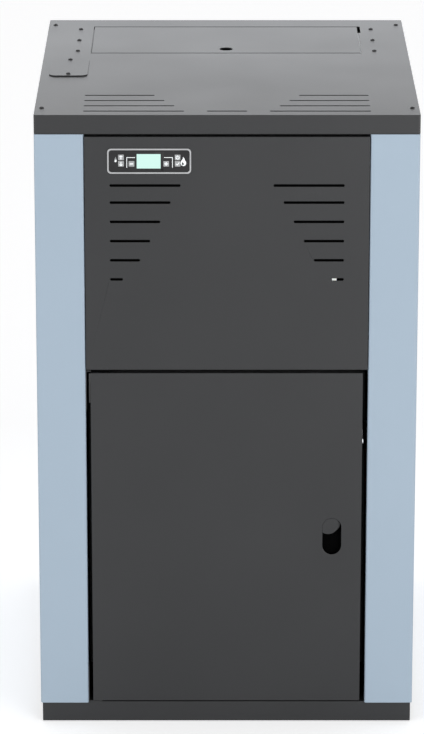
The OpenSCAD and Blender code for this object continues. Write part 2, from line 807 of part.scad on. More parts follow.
// Cast seat that holds the burn pot over the opening to the ash chamber
module burner_seat() {
    s = pot_half + 16;
    color(iron) difference() {
        union() {
            block(-box_w / 2 + fit, box_w / 2 - fit, body_y + 3, box_back - 1, fire_z, seat_z);
            block(-s, s, pot_y - s, pot_y + s, seat_z, pot_z);
            for (x = [box_w / 2 - 60:20:box_w / 2 - 20], m = [-1, 1])
                block(m * x - 2, m * x + 2, body_y + 20, box_back - 20, seat_z, seat_z + 8);
        }
        block(-s + 12, s - 12, pot_y - s + 12, pot_y + s - 12, fire_z - 1, pot_z + 1);
        rod_y(0, pot_y, seat_z + 14, 7, 100);
    }
}
module burn_pot() {
    h = pot_half;
    z0 = pot_z - pot_h;
    wall = 5;
    color(iron) difference() {
        union() {
            block(-h, h, pot_y - h, pot_y + h, z0, pot_z + pot_rim_t);
            block(-h - pot_rim, h + pot_rim, pot_y - h - pot_rim, pot_y + h + pot_rim, pot_z,
                pot_z + pot_rim_t);
        }
        block(-h + wall, h - wall, pot_y - h + wall, pot_y + h - wall, z0 + wall, pot_z + pot_rim_t + 1);
        for (x = [-30:15:30], y = [-30:15:30]) rod_z(x, pot_y + y, z0 - 1, 3, wall + 2);
        for (x = [-30:20:30]) rod_y(x, pot_y - h - 1, pot_z - 10, 3, 2 * h + 2);
        rod_y(0, pot_y + h - wall - 1, seat_z + 14, 6, wall + 2);
    }
}
module igniter() {
    y0 = pot_y + pot_half + 2;
    z = seat_z + 14;
    color(white) union() {
        rod_y(0, y0, z, 5, body_back - y0 + 12);
        rod_y(0, body_back, z, 15, 5);
        rod_y(0, body_back + 5, z, 8, 12);
    }
}

// Chute through the rear tunnel, cut to sit under the auger tube
module pellet_chute() {
    color(steel) difference() {
        union() {
            chute_frame() square_tube(chute_w, hopper_t, chute_len + 30);
            intersection() {
                chute_frame() translate([0, 0, chute_len * 0.62]) difference() {
                    cube([chute_w + 26, chute_w + 26, 130], center = true);
                    cube([chute_w - 2, chute_w - 2, 200], center = true);
                }
                block(-100, 100, body_back, body_back + 3, 300, 700);
            }
        }
        auger_frame() cylinder(r = tube_out_r + 0.2, h = 600, center = true);
        auger_frame() translate([-50, -100, auger_up - 24]) cube([100, 200, 100]);
    }
}
module auger_tube() {
    color(steel) difference() {
        auger_frame() union() {
            difference() {
                translate([0, 0, -auger_down]) cylinder(r = tube_out_r, h = auger_up + auger_down);
                translate([0, 0, -auger_down + cap_t])
                    cylinder(r = tube_out_r - tube_wall, h = auger_up + auger_down - 2 * cap_t);
                translate([0, 0, -auger_down - 1])
                    cylinder(r = shaft_r + pin_fit, h = auger_up + auger_down + 2);
            }
            translate([0, 0, -auger_down]) difference() {
                cylinder(r = tube_out_r + 12, h = 5);
                translate([0, 0, -1]) cylinder(r = shaft_r + pin_fit, h = 7);
            }
        }
        intersection() {
            chute_frame() translate([0, 0, chute_len / 2 + 60])
                cube([44, 44, chute_len + 120], center = true);
            auger_frame() translate([-40, -60, auger_up - 70]) cube([80, 60, 62]);
        }
        block(-throat / 2 + 8, throat / 2 - 8, auger_y - throat / 2 + 4, auger_y + throat / 2 - 4, auger_z,
            auger_z + 80);
    }
}

// Hopper: neck with its rim under the lid, body, funnel and throat on the auger tube
module hopper_form(t, over) {
    block(-mouth_half + t, mouth_half - t, mouth_y0 + t, mouth_y1 - t, hopper_top - over - t,
        seat_rim_z + over);
    block(-hopper_half + t, hopper_half - t, hopper_y0 + t, hopper_y1 - t, hopper_knee, hopper_top - t);
    hull() {
        block(-hopper_half + t, hopper_half - t, hopper_y0 + t, hopper_y1 - t, hopper_knee - eps,
            hopper_knee);
        block(-throat / 2 + t, throat / 2 - t, auger_y - throat / 2 + t, auger_y + throat / 2 - t, throat_z,
            throat_z + eps);
    }
    block(-throat / 2 + t, throat / 2 - t, auger_y - throat / 2 + t, auger_y + throat / 2 - t, auger_z + 4,
        throat_z + eps);
}
module hopper() {
    rim = 10;
    color(zinc) union() {
        difference() {
            union() {
                hopper_form(0, 0);
                block(-mouth_half - rim, mouth_half + rim, mouth_y0 - rim, mouth_y1 + rim,
                    seat_rim_z - sheet, seat_rim_z);
            }
            hopper_form(hopper_t, 1);
            auger_frame() cylinder(r = tube_out_r + 0.2, h = 400, center = true);
            block(-60, 60, auger_y - 60, auger_y + 60, auger_z - 60, auger_z + 4);
        }
        for (x = lid_pin_xs, s = [-1, 1]) lid_ear(x + s * ear_w / 2);
        for (s = [-1, 1]) difference() {
            block(s > 0 ? hopper_half : -half_w + sheet + fit, s > 0 ? half_w - sheet - fit : -hopper_half,
                hopper_y0 + 60, hopper_y0 + 120, hopper_top - 60, hopper_top);
            block(s > 0 ? hopper_half + 3 : -half_w, s > 0 ? half_w : -hopper_half - 3,
                hopper_y0 + 50, hopper_y0 + 130, hopper_top - 70, hopper_top - 3);
        }
    }
}
module lid_ear(x) {
    difference() {
        union() {
            translate([x - 1, lid_pin_y, lid_pin_z]) rotate([0, 90, 0]) cylinder(r = 4.1, h = 2);
            block(x - 1, x + 1, lid_pin_y - 9, lid_pin_y, seat_rim_z - eps, lid_pin_z + 4.1);
            block(x - 1, x + 1, lid_pin_y - eps, lid_pin_y + ear_back, seat_rim_z - eps, lid_pin_z - 2);
        }
        rod_x(x - 2, lid_pin_y, lid_pin_z, lid_pin_r + pin_fit, 4);
    }
}

// Lid: a folded tray with a finger hole and its two hinge barrels
module hopper_lid() {
    z0 = plate_z - lid_flange;
    rear_z = lid_pin_z - 7;
    color(graphite) union() {
        difference() {
            block(-lid_w / 2, lid_w / 2, lid_front, lid_back, z0, cab_h);
            block(-lid_w / 2 + sheet, lid_w / 2 - sheet, lid_front + sheet, lid_back - sheet, z0 - 1,
                plate_z);
            block(-lid_w / 2 - 1, lid_w / 2 + 1, lid_back - 14, lid_back + 1, z0 - 1, rear_z);
            for (x = lid_pin_xs)
                block(x - ear_w / 2 - 3, x + ear_w / 2 + 3, lid_back - sheet - 1, lid_back + 1, z0 - 1,
                    plate_z);
            translate([0, lid_front + 29, plate_z - 1]) cylinder(d = lid_hole_d, h = sheet + 2);
        }
        for (x = lid_pin_xs) {
            block(x - 8, x + 8, lid_pin_y - 3, lid_pin_y + 1, lid_pin_z - 1, plate_z + eps);
            rod_x(x - ear_w / 2 - 2.5, lid_pin_y, lid_pin_z, lid_pin_r, ear_w + 5);
            rod_x(x - 8, lid_pin_y, lid_pin_z, lid_pin_r + 1.4, 16);
        }
    }
}

module auger_gearmotor() {
    color(steel) auger_frame() translate([0, 0, -auger_down]) difference() {
        union() {
            translate([-36, -34, -42]) cube([72, 66, 42]);
            translate([0, -8, -78]) cylinder(r = 27, h = 36);
            for (x = [-28, 28], y = [-26, 24]) translate([x, y, -46]) cylinder(r = 4, h = 4);
        }
        translate([0, 0, -24]) cylinder(r = shaft_r + pin_fit, h = 25);
        for (a = [0:30:330]) translate([0, -8, -79]) rotate([0, 0, a])
            translate([25, -1.2, 0]) cube([4, 2.4, 30]);
    }
}
module auger_shaft() {
    color(steel) auger_frame() union() {
        translate([0, 0, -auger_down - 20]) cylinder(r = shaft_r, h = auger_down + auger_up + 24);
        translate([0, 0, auger_up + 1]) cylinder(r = shaft_r + 4, h = 3);
    }
}
// Helical flight: a thin upright section swept up the shaft, one ring every 15 degrees
module auger_flight() {
    len = auger_down + auger_up - 2 * cap_t - 16;
    per_turn = 24;
    rings = floor((len - flight_t) / flight_pitch * per_turn);
    section = [[shaft_r, 0], [flight_r, 0], [flight_r, flight_t], [shaft_r, flight_t]];
    points = [for (i = [0:rings]) for (c = section)
        [c[0] * cos(i * 360 / per_turn), c[0] * sin(i * 360 / per_turn),
            c[1] + i * flight_pitch / per_turn]];
    skin = [for (i = [0:rings - 1]) for (k = [0:3])
        let (a = 4 * i + k, b = 4 * i + (k + 1) % 4) each [[a, a + 4, b], [b, a + 4, b + 4]]];
    last = 4 * rings;
    ends = [[0, 1, 2], [0, 2, 3], [last, last + 2, last + 1], [last, last + 3, last + 2]];
    color(steel) auger_frame() translate([0, 0, -auger_down + cap_t + 8])
        polyhedron(points, concat(skin, ends));
}

// Duct from the smoke box down to the fan's inlet
module smoke_duct() {
    t = 2;
    z_top = body_top + vault_h;
    box_y1 = fan_y + 48;
    z0 = fan_z - 50;
    color(zinc) difference() {
        union() {
            block(duct_x0, duct_x1, duct_y0, duct_y0 + duct_d, z0, z_top);
            block(duct_x0, duct_x1, duct_y0, box_y1, z0, fan_z + 50);
            block(duct_x0 + 32, duct_x1 - 2, smoke_y1 + 0.2, duct_y0 + 1, body_top + 3, z_top - 3);
        }
        block(duct_x0 + t, duct_x1 - t, duct_y0 + t, duct_y0 + duct_d - t, z0 + t, z_top - t);
        block(duct_x0 + t, duct_x1 - t, duct_y0 + t, box_y1 - t, z0 + t, fan_z + 50 - t);
        block(duct_x0 + 35, duct_x1 - 5, smoke_y1 - 1, duct_y0 + 10, body_top + 6, z_top - 6);
        rod_x(duct_x1 - 5, fan_y, fan_z, 30, 10);
    }
}

// Volute outline in the fan's plane: a spiral that opens into the outlet
function volute(grow) = [for (a = [0:15:270])
    (volute_r0 + grow + volute_grow * a / 270) * [cos(a), sin(a)]];
module fan_plane(x, len) {
    translate([x, fan_y, fan_z]) rotate([90, 0, 90]) linear_extrude(len) children();
}
module volute_form(grow) {
    out_z = -volute_r0 - volute_grow - grow;
    polygon(volute(grow));
    translate([0, out_z]) square([fan_out_y - fan_y, fan_out_h + 2 * grow]);
    intersection() {
        circle(volute_r0 + grow);
        translate([0, -volute_r0 - grow]) square(volute_r0 + grow);
    }
}
module fan_housing() {
    color(steel) difference() {
        union() {
            fan_plane(fan_x0, fan_w) volute_form(0);
            block(fan_x0, fan_x0 + fan_w, fan_out_y - 3, fan_out_y, flue_z - fan_out_h / 2 - 12,
                flue_z + fan_out_h / 2 + 12);
        }
        fan_plane(fan_x0 + fan_wall, fan_w - 2 * fan_wall) volute_form(-fan_wall);
        block(fan_x0 + fan_wall, fan_x0 + fan_w - fan_wall, fan_y + 20, fan_out_y + 1,
            flue_z - fan_out_h / 2 + fan_wall, flue_z + fan_out_h / 2 - fan_wall - 4);
        rod_x(fan_x0 - 1, fan_y, fan_z, 30, fan_wall + 2);
        rod_x(fan_x0 + fan_w - fan_wall - 1, fan_y, fan_z, 8, fan_wall + 2);
    }
}
// Backward-curved blades between the back plate and the inlet ring
module fan_impeller() {
    x_back = fan_x0 + fan_w - fan_wall - 5;
    depth = fan_w - 2 * fan_wall - 10;
    bow = 34;
    color(zinc) union() {
        rod_x(x_back - 2, fan_y, fan_z, fan_r, 2);
        rod_x(x_back - 24, fan_y, fan_z, 9, 24);
        rod_x(x_back - 2, fan_y, fan_z, 4, 34);
        difference() {
            rod_x(x_back - depth, fan_y, fan_z, fan_r, 2);
            rod_x(x_back - depth - 1, fan_y, fan_z, 31, 4);
        }
        fan_plane(x_back - depth + eps, depth - 2 * eps) for (i = [0:blades - 1]) rotate(i * 360 / blades)
            intersection() {
                translate([43, bow - 3]) difference() {
                    circle(bow);
                    circle(bow - 1.6);
                }
                difference() {
                    circle(fan_r - 0.5);
                    circle(31.5);
                }
                translate([20, -40]) square([60, 45]);
            }
    }
}
module fan_motor() {
    x0 = fan_x0 + fan_w + 12;
    color(steel) difference() {
        union() {
            rod_x(x0, fan_y, fan_z, motor_r, 52);
            rod_x(x0 + 52, fan_y, fan_z, motor_r - 8, 8);
            for (a = [30:120:270]) translate([x0 - 12, fan_y + 28 * cos(a), fan_z + 28 * sin(a)])
                rotate([0, 90, 0]) cylinder(r = 4, h = 13);
        }
        rod_x(x0 - 1, fan_y, fan_z, 4 + pin_fit, 26);
        for (a = [0:30:330]) translate([x0 + 6, fan_y, fan_z]) rotate([a, 0, 0])
            translate([0, motor_r - 2, -1.5]) cube([40, 4, 3]);
    }
}
module flue_spigot() {
    wall = 1.5;
    color(steel) difference() {
        union() {
            rod_y(flue_x, fan_out_y + 3, flue_z, flue_r, stub_y - fan_out_y - 3);
            block(flue_x - flue_r - 6, flue_x + flue_r + 6, fan_out_y, fan_out_y + 3,
                flue_z - flue_r - 6, flue_z + flue_r + 6);
            rod_y(flue_x, rear_in + 0.2, flue_z, flue_r + 14, 1.5);
        }
        rod_y(flue_x, fan_out_y + 3, flue_z, flue_r - wall, stub_y);
        block(flue_x - 27, flue_x + 27, fan_out_y - 1, fan_out_y + 4, flue_z - 24, flue_z + 20);
    }
}
module air_intake() {
    wall = 1.5;
    color(steel) difference() {
        union() {
            rod_y(0, box_back + 4, intake_z, intake_r, stub_y - box_back - 4);
            rod_y(0, body_back, intake_z, intake_r + 12, 3);
            rod_y(0, rear_in + 0.2, intake_z, intake_r + 12, 1.5);
        }
        rod_y(0, box_back, intake_z, intake_r - wall, stub_y - box_back + 1);
    }
}

// Pipes end in hexagon unions behind the cabinet
module hex_y(x, y, z, r, len) {
    translate([x, y, z]) rotate([-90, 0, 0]) cylinder(r = r, h = len, $fn = 6);
}
module water_pipe(z, y0, y1) {
    difference() {
        union() {
            rod_y(pipe_x, y0, z, pipe_r, y1 - y0);
            hex_y(pipe_x, half_d + 2, z, pipe_r + 5, 12);
        }
        rod_y(pipe_x, y0 - 1, z, pipe_r - 2.5, y1 - y0 + 2);
    }
}
module supply_pipe() {
    color(brass) union() {
        water_pipe(supply_z, body_back - shell_t, half_d + 35);
        difference() {
            hex_y(pipe_x, body_back, supply_z, pipe_r + 5, 14);
            rod_y(pipe_x, body_back - 1, supply_z, pipe_r - 1, 16);
        }
    }
}
module return_pipe() {
    color(brass) union() {
        difference() {
            union() {
                rod_y(pipe_x, body_back - shell_t, return_z, pipe_r, pump_y - 62 - body_back + shell_t);
                hex_y(pipe_x, body_back, return_z, pipe_r + 5, 14);
                hex_y(pipe_x, pump_y - 66, return_z, pipe_r + 6, 16);
                rod_z(pipe_x, vessel_y - 60, return_z, 8, vessel_z - return_z);
                rod_x(pipe_x - 4, vessel_y - 60, vessel_z, 8, vessel_x - vessel_nozzle - pipe_x + 3.5);
                rod_z(pipe_x, vessel_y - 60, vessel_z - 8, 8, 16);
            }
            rod_y(pipe_x, body_back - shell_t - 1, return_z, pipe_r - 2.5, 400);
        }
        difference() {
            union() {
                rod_y(pipe_x, pump_y + 50, return_z, pipe_r, half_d + 35 - pump_y - 50);
                hex_y(pipe_x, half_d + 2, return_z, pipe_r + 5, 12);
                hex_y(pipe_x, pump_y + 50, return_z, pipe_r + 6, 16);
            }
            rod_y(pipe_x, pump_y, return_z, pipe_r - 2.5, 400);
        }
    }
}
module circulation_pump() {
    color(iron) difference() {
        union() {
            rod_x(pipe_x - 22, pump_y, return_z, pump_r - 4, 44);
            rod_y(pipe_x, pump_y - 50, return_z, pipe_r + 4, 100);
            rod_x(pipe_x + 22, pump_y, return_z, pump_r, 10);
            rod_x(pipe_x + 32, pump_y, return_z, pump_r - 6, 56);
            block(pipe_x + 40, pipe_x + 82, pump_y - 30, pump_y + 30, return_z + 20, return_z + 50);
        }
        rod_y(pipe_x, pump_y - 51, return_z, pipe_r - 2.5, 40);
        rod_y(pipe_x, pump_y + 11, return_z, pipe_r - 2.5, 40);
    }
}
// Flat expansion vessel: two pressed shells with a clamped rim
module expansion_vessel() {
    r = vessel_r;
    h = vessel_t / 2;
    color([0.70, 0.16, 0.14]) translate([vessel_x, vessel_y, vessel_z]) rotate([0, 90, 0]) union() {
        rotate_extrude() polygon(concat([[0, 0]],
            [for (a = [0:15:90]) [r - 24 + 20 * sin(a), 20 - 20 * cos(a)]],
            [[r - 4, h - 3], [r, h - 3], [r, h + 3], [r - 4, h + 3]],
            [for (a = [90:-15:0]) [r - 24 + 20 * sin(a), vessel_t - 20 + 20 * cos(a)]],
            [[0, vessel_t]]));
        translate([0, -60, -vessel_nozzle]) cylinder(r = 11, h = vessel_nozzle + 1, $fn = 6);
    }
}
// Safety valve, air vent and gauge on one block at the rear corner of the body
module safety_group() {
    x = pipe_x + 7;
    y = body_back - 22;
    z = body_top;
    color(brass) union() {
        rod_z(x, y, z, 12, 26);
        block(x - 14, x + 14, y - 16, y + 16, z + 20, z + 44);
        rod_z(x, y - 6, z + 44, 9, 34);
        rod_z(x, y - 6, z + 78, 3, 6);
        rod_y(x, y + 16, z + 32, 8, 10);
        rod_y(x, y + 26, z + 32, 21, 16);
        rod_x(x + 13, y, z + 32, 11, 27);
        rod_x(x + 40, y, z + 32, 15, 17);
    }
}

module drain_valve() {
    y = half_d + 6;
    color(brass) difference() {
        union() {
            rod_y(drain_x, body_back - shell_t, drain_z, pipe_r - 3, y + 46 - body_back + shell_t);
            hex_y(drain_x, y, drain_z, pipe_r + 3, 30);
            rod_z(drain_x, y + 15, drain_z, 6, 20);
            hex_y(drain_x, body_back, drain_z, pipe_r + 1, 12);
        }
        rod_y(drain_x, y + 30, drain_z, 7, 20);
    }
}
module drain_handle() {
    y = half_d + 21;
    color([0.75, 0.12, 0.10]) difference() {
        union() {
            rod_z(drain_x, y, drain_z + 20 + fit, 9, 5);
            block(drain_x - 6, drain_x + 6, y, y + 52, drain_z + 20 + fit, drain_z + 23);
        }
        translate([drain_x, y, drain_z + 16]) cylinder(r = 1.2, h = 20);
    }
}

// Power inlet with a recessed three-pin socket above a rocker switch
module power_inlet() {
    y1 = rear_in + 3;
    color(black) difference() {
        union() {
            block(inlet_x - 26, inlet_x + 26, rear_in + 0.1, y1, inlet_z - 30, inlet_z + 30);
            block(inlet_x - 22, inlet_x + 22, rear_in - 22, rear_in + 1, inlet_z - 25, inlet_z + 25);
        }
        difference() {
            block(inlet_x - 13.5, inlet_x + 13.5, y1 - 16, y1 + 1, inlet_z + 3, inlet_z + 23);
            for (p = [[-7, -2], [0, 3], [7, -2]])
                block(inlet_x + p[0] - 1, inlet_x + p[0] + 1, y1 - 17, y1 - 3, inlet_z + 13 + p[1] - 2,
                    inlet_z + 13 + p[1] + 2);
        }
        block(inlet_x - 10 - fit, inlet_x + 10 + fit, y1 - 17, y1 + 1, inlet_z - 23 - fit,
            inlet_z - 5 + fit);
    }
}
rocker_z = inlet_z - 14;
module power_rocker() {
    y1 = rear_in + 3;
    color([0.70, 0.10, 0.08]) difference() {
        rod_x(inlet_x - 10, y1 - 7, rocker_z, 9, 20);
        translate([inlet_x - 11, y1 - 7, rocker_z]) rotate([8, 0, 0]) translate([0, 4.5, -12])
            cube([22, 20, 12]);
        translate([inlet_x - 11, y1 - 7, rocker_z]) rotate([-8, 0, 0]) translate([0, 4.5, 0])
            cube([22, 20, 12]);
    }
}

// Front door, a folded tray with the finger hole
module front_door() {
    w = door_right - door_left;
    color(graphite) difference() {
        block(door_left, door_right, door_y, door_y + door_depth, door_z, door_top);
        block(door_left + sheet, door_right - sheet, door_in_y, door_y + door_depth + 1, door_z + sheet,
            door_top - sheet);
        finger_slot(finger_x, finger_z + finger_h / 2, finger_w, finger_h);
        for (z = [door_z - 1, door_top - sheet - 1]) rod_z(hinge_x, hinge_y, z, door_pin_r, sheet + 2);
    }
}
module finger_slot(x, z, w, h) {
    translate([x, door_y - 1, z]) rotate([-90, 0, 0]) linear_extrude(sheet + 2) rounded(w, h, w / 2 - eps);
}
// Pins in collars, the zinc strike plate and the lock's mounting plate
module door_fittings() {
    z1 = door_top;
    color(zinc) union() {
        rod_z(hinge_x, hinge_y, z1 - 14, door_pin_r, 14 + 1.6 + bracket_t - 0.2);
        rod_z(hinge_x, hinge_y, z1 - sheet - 9, 7, 9);
    }
    color(zinc) union() {
        rod_z(hinge_x, hinge_y, tray_h + 0.2, door_pin_r, 14);
        rod_z(hinge_x, hinge_y, door_z + sheet, 7, 9);
    }
    color(zinc) union() {
        block(door_right, door_right + 1, door_y + 3, door_y + door_depth + 1, catch_z - 6, catch_z + 6);
        block(door_right - 18, door_right + 1, door_y + door_depth, door_y + door_depth + 1, catch_z - 16,
            catch_z + 16);
    }
    color(zinc) difference() {
        union() {
            block(lock_x - 10, lock_x + 10, bridge_y, bridge_y + 2, lock_z - 10, lock_z + 30);
            block(lock_x - 10, lock_x + 10, door_in_y, bridge_y + 2, lock_z + 22, lock_z + 30);
        }
        rod_y(lock_x, bridge_y - 1, lock_z, 6 + pin_fit, 4);
    }
}
// Round lock disc seen behind the finger hole, its spindle and its tongue, unlocked
module door_lock() {
    y0 = door_in_y + fit;
    color(graphite) union() {
        difference() {
            rod_y(lock_x, y0, lock_z, lock_d / 2, disc_t);
            translate([lock_x, y0 - 1, lock_z]) rotate([0, 45, 0]) translate([-11, 0, -1.5])
                cube([22, 2.2, 3]);
        }
        rod_y(lock_x, y0, lock_z, 6, tongue_y + tongue_t - y0 + 2);
        difference() {
            block(lock_x - tongue_w / 2, lock_x + tongue_w / 2, tongue_y, tongue_y + tongue_t, lock_z - 9,
                lock_z + lock_reach - 4);
            rod_y(lock_x, tongue_y - 1, lock_z + 40, 3, 5);
        }
        translate([lock_x, tongue_y, lock_z + lock_reach - 4]) intersection() {
            rotate([-90, 0, 0]) cylinder(r = tongue_w / 2, h = tongue_t);
            translate([-20, -1, 0]) cube([40, 5, 4]);
        }
    }
}

// Cast fire door: ribbed plate with hinge knuckles, lined on the inside
module fire_door() {
    z0 = fire_z - 12;
    z1 = fire_top + 12;
    y0 = fdoor_y - 7;
    color(iron) union() {
        difference() {
            union() {
                block(-fdoor_half, fdoor_half, y0, fdoor_y, z0, z1);
                for (z = [z0 + 60, (z0 + z1) / 2, z1 - 60])
                    block(-fdoor_half + 14, fdoor_half - 60, y0 - 4, y0, z - 4, z + 4);
                block(-fdoor_half, fdoor_half, y0 - 4, y0, z0, z0 + 8);
                block(-fdoor_half, fdoor_half, y0 - 4, y0, z1 - 8, z1);
            }
            rod_y(handle_x, y0 - 5, handle_z, 6 + pin_fit, 20);
        }
        for (z = fdoor_knuckles) difference() {
            union() {
                rod_z(fdoor_hinge_x, fdoor_hinge_y, z, 6, knuckle_h);
                block(fdoor_hinge_x, -fdoor_half + 4, fdoor_hinge_y - 3, fdoor_hinge_y + 3, z,
                    z + knuckle_h);
            }
            rod_z(fdoor_hinge_x, fdoor_hinge_y, z - 1, fdoor_pin_r + pin_fit, knuckle_h + 2);
        }
    }
}
module fire_door_lining() {
    z0 = fire_z + 4;
    z1 = fire_top - 4;
    color([0.86, 0.80, 0.62]) difference() {
        union() {
            block(-box_w / 2 + 4, box_w / 2 - 4, fdoor_y, body_y + 2, z0, z1);
            difference() {
                block(-fdoor_half + 2, fdoor_half - 2, fdoor_y, body_y - fit, fire_z - 10, fire_top + 10);
                block(-box_w / 2 + 2, box_w / 2 - 2, fdoor_y - 1, body_y + 1, z0 - 2, z1 + 2);
            }
        }
        rod_y(handle_x, fdoor_y - 1, handle_z, 11, 30);
    }
}
// Low lever handle with its spindle and the catch arm inside the door
module fire_door_handle() {
    y0 = fdoor_y - 7;
    color(zinc) union() {
        rod_y(handle_x, y0 - 8, handle_z, 6, 14);
        rod_y(handle_x, y0 - 8, handle_z, 12, 3.5);
        block(handle_x - 6, handle_x + 6, y0 - 8, y0 - 4.5, handle_z - 84, handle_z);
        rod_y(handle_x, y0 - 8, handle_z - 84, 6, 3.5);
    }
}
module ash_pan() {
    wall = 2;
    y0 = body_y + fit;
    z1 = pan_z + pan_h;
    color(steel) union() {
        difference() {
            block(-pan_half, pan_half, y0, y0 + pan_len, pan_z, z1);
            block(-pan_half + wall, pan_half - wall, y0 + wall, y0 + pan_len - wall, pan_z + wall, z1 + 1);
        }
        for (s = [-1, 1]) block(s * 45 - 4, s * 45 + 4, y0 - 18, y0 + 1, pan_z + 60, pan_z + 68);
        rod_x(-49, y0 - 18, pan_z + 64, 5, 98);
        for (s = [-1, 1])
            block(s * (pan_half - 30) - 6, s * (pan_half - 30) + 6, y0 + 10, y0 + pan_len - 10, ash_z + fit,
                pan_z);
    }
}

base_tray();
left_side_panel();
right_side_panel();
rear_panel();
rear_lower_panel();
top_frame();
top_cover();
cover_screws();
service_plate();
upper_front_panel();
control_bezel();
control_fascia();
display();
control_board();
terminal_block();
hinge_brackets();
magnet_catch();
boiler_body();
turbulators();
smoke_box();
exchanger_cover();
insulation();
burner_seat();
igniter();
pellet_chute();
auger_tube();
hopper();
auger_gearmotor();
smoke_duct();
fan_housing();
fan_motor();
flue_spigot();
air_intake();
supply_pipe();
return_pipe();
circulation_pump();
expansion_vessel();
safety_group();
drain_valve();
power_inlet();
front_door();
door_fittings();
door_lock();
fire_door();
fire_door_lining();
fire_door_handle();
ash_pan();
burn_pot();
hopper_lid();
auger_shaft();
auger_flight();
fan_impeller();
power_rocker();
drain_handle();
key_back();
key_menu();
key_minus();
key_plus();
key_set();
key_start();
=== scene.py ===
"""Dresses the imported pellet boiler: camera, light, finishes and the small parts that the solids leave out.

The scene is in metres. Piece coordinates are written in millimetres, as in the part's source, and MM
turns them into metres where a mesh is made. The front faces -Y and the floor is z = 0.
"""
import json
import math

import bmesh
import bpy
from mathutils import Matrix, Vector


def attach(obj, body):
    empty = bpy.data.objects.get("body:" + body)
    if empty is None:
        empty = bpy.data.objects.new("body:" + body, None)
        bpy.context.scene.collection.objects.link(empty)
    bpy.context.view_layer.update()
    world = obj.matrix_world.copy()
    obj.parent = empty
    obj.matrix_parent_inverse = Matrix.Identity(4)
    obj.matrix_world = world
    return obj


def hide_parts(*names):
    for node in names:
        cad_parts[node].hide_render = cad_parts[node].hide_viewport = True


MM = 0.001
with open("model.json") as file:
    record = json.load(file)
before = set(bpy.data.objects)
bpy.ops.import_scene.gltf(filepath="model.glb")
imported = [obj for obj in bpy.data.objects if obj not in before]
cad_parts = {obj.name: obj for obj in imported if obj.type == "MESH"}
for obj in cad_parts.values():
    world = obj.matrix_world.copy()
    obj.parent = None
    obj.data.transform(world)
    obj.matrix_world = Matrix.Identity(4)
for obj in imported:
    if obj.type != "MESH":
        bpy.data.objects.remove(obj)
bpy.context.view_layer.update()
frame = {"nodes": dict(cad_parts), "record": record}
nodes = frame["nodes"]

# Numbers shared with the part's source, in millimetres
REAR_Y = 345
TOP_Z = 1010
DOOR_INNER_Y = -342
DOOR_LOW = 36.8
DOOR_TOP = 591
BODY_FRONT = -297
BODY_BACK = -20
FIRE_DOOR_Y = -301
CTRL_X = -121
CTRL_Z = 936.6
FASCIA_FACE = -346.5
KEY_FACE = -346.8
FAN_Y = 62
FAN_Z = 290
PANEL_Y = 343.5
PIPE_X = 175
SUPPLY_Z = 470
RETURN_Z = 120
GAUGE_X = 182
GAUGE_Z = 882
SCREW_SPOTS = [(x, y) for x in (-289, 289) for y in (-299, 304)]
SCREW_SPOTS += [(x, y) for x in (-245, 245) for y in (105, 186, 271)]
PLATE_SCREWS = [(-255, -71), (-255, 32)]

# Angles in degrees of four screws round a flange, and thickness in millimetres of a printed glyph
DIAGONALS = (45, 135, 225, 315)
INK = 0.06


def add_object(name, data):
    """A new object, linked into the scene."""
    made = bpy.data.objects.new(name, data)
    bpy.context.scene.collection.objects.link(made)
    return made


def make_camera():
    """Looks slightly down at the front from far off, with a long lens."""
    lens_mm = 200
    long_side_mm = 36
    eye = (-0.0234, -6.4918, 2.4952)
    tilt = math.radians(72.88)
    data = bpy.data.cameras.new("camera")
    data.lens = lens_mm
    data.sensor_width = long_side_mm
    data.sensor_fit = "AUTO"
    camera = add_object("camera", data)
    camera.location = eye
    camera.rotation_euler = (tilt, 0, 0)
    bpy.context.scene.camera = camera


make_camera()


# Shader helpers


def put(tree, kind, settings=None, **values):
    """Adds a node, sets its properties, and fills its inputs with numbers or links."""
    made = tree.nodes.new(kind)
    for name, value in (settings or {}).items():
        setattr(made, name, value)
    for name, value in values.items():
        socket = made.inputs[name.replace("_", " ")]
        if isinstance(value, bpy.types.NodeSocket):
            tree.links.new(value, socket)
        else:
            socket.default_value = value
    return made


def empty_tree(owner):
    """The node tree of a material or world, without nodes."""
    owner.use_nodes = True
    owner.node_tree.nodes.clear()
    return owner.node_tree


def feed(tree, socket, value):
    """Links a socket to the input, or sets the number."""
    if isinstance(value, bpy.types.NodeSocket):
        tree.links.new(value, socket)
    else:
        socket.default_value = value


def mix_colour(tree, factor, low, high):
    made = put(tree, "ShaderNodeMix", {"data_type": "RGBA"})
    feed(tree, made.inputs[0], factor)
    feed(tree, made.inputs[6], low)
    feed(tree, made.inputs[7], high)
    return made.outputs[2]


def mix_value(tree, factor, low, high):
    made = put(tree, "ShaderNodeMix", {"data_type": "FLOAT"})
    feed(tree, made.inputs[0], factor)
    feed(tree, made.inputs[2], low)
    feed(tree, made.inputs[3], high)
    return made.outputs[0]


def calc(tree, operation, first, second):
    made = put(tree, "ShaderNodeMath", {"operation": operation})
    feed(tree, made.inputs[0], first)
    feed(tree, made.inputs[1], second)
    return made.outputs[0]


def spread(tree, value, low, high):
    """Stretches the part of a 0 to 1 value between low and high over 0 to 1."""
    return put(tree, "ShaderNodeMapRange", Value=value, From_Min=low, From_Max=high).outputs[0]


def place(tree, stretch=(1, 1, 1)):
    """The piece's own coordinates, in metres, stretched along each axis."""
    coordinates = put(tree, "ShaderNodeTexCoord")
    return put(tree, "ShaderNodeMapping", Vector=coordinates.outputs["Object"], Scale=stretch).outputs[0]


def noise(tree, vector, scale, detail=3.0, roughness=0.55):
    made = put(tree, "ShaderNodeTexNoise", Vector=vector, Scale=scale, Detail=detail, Roughness=roughness)
    return made.outputs[0]


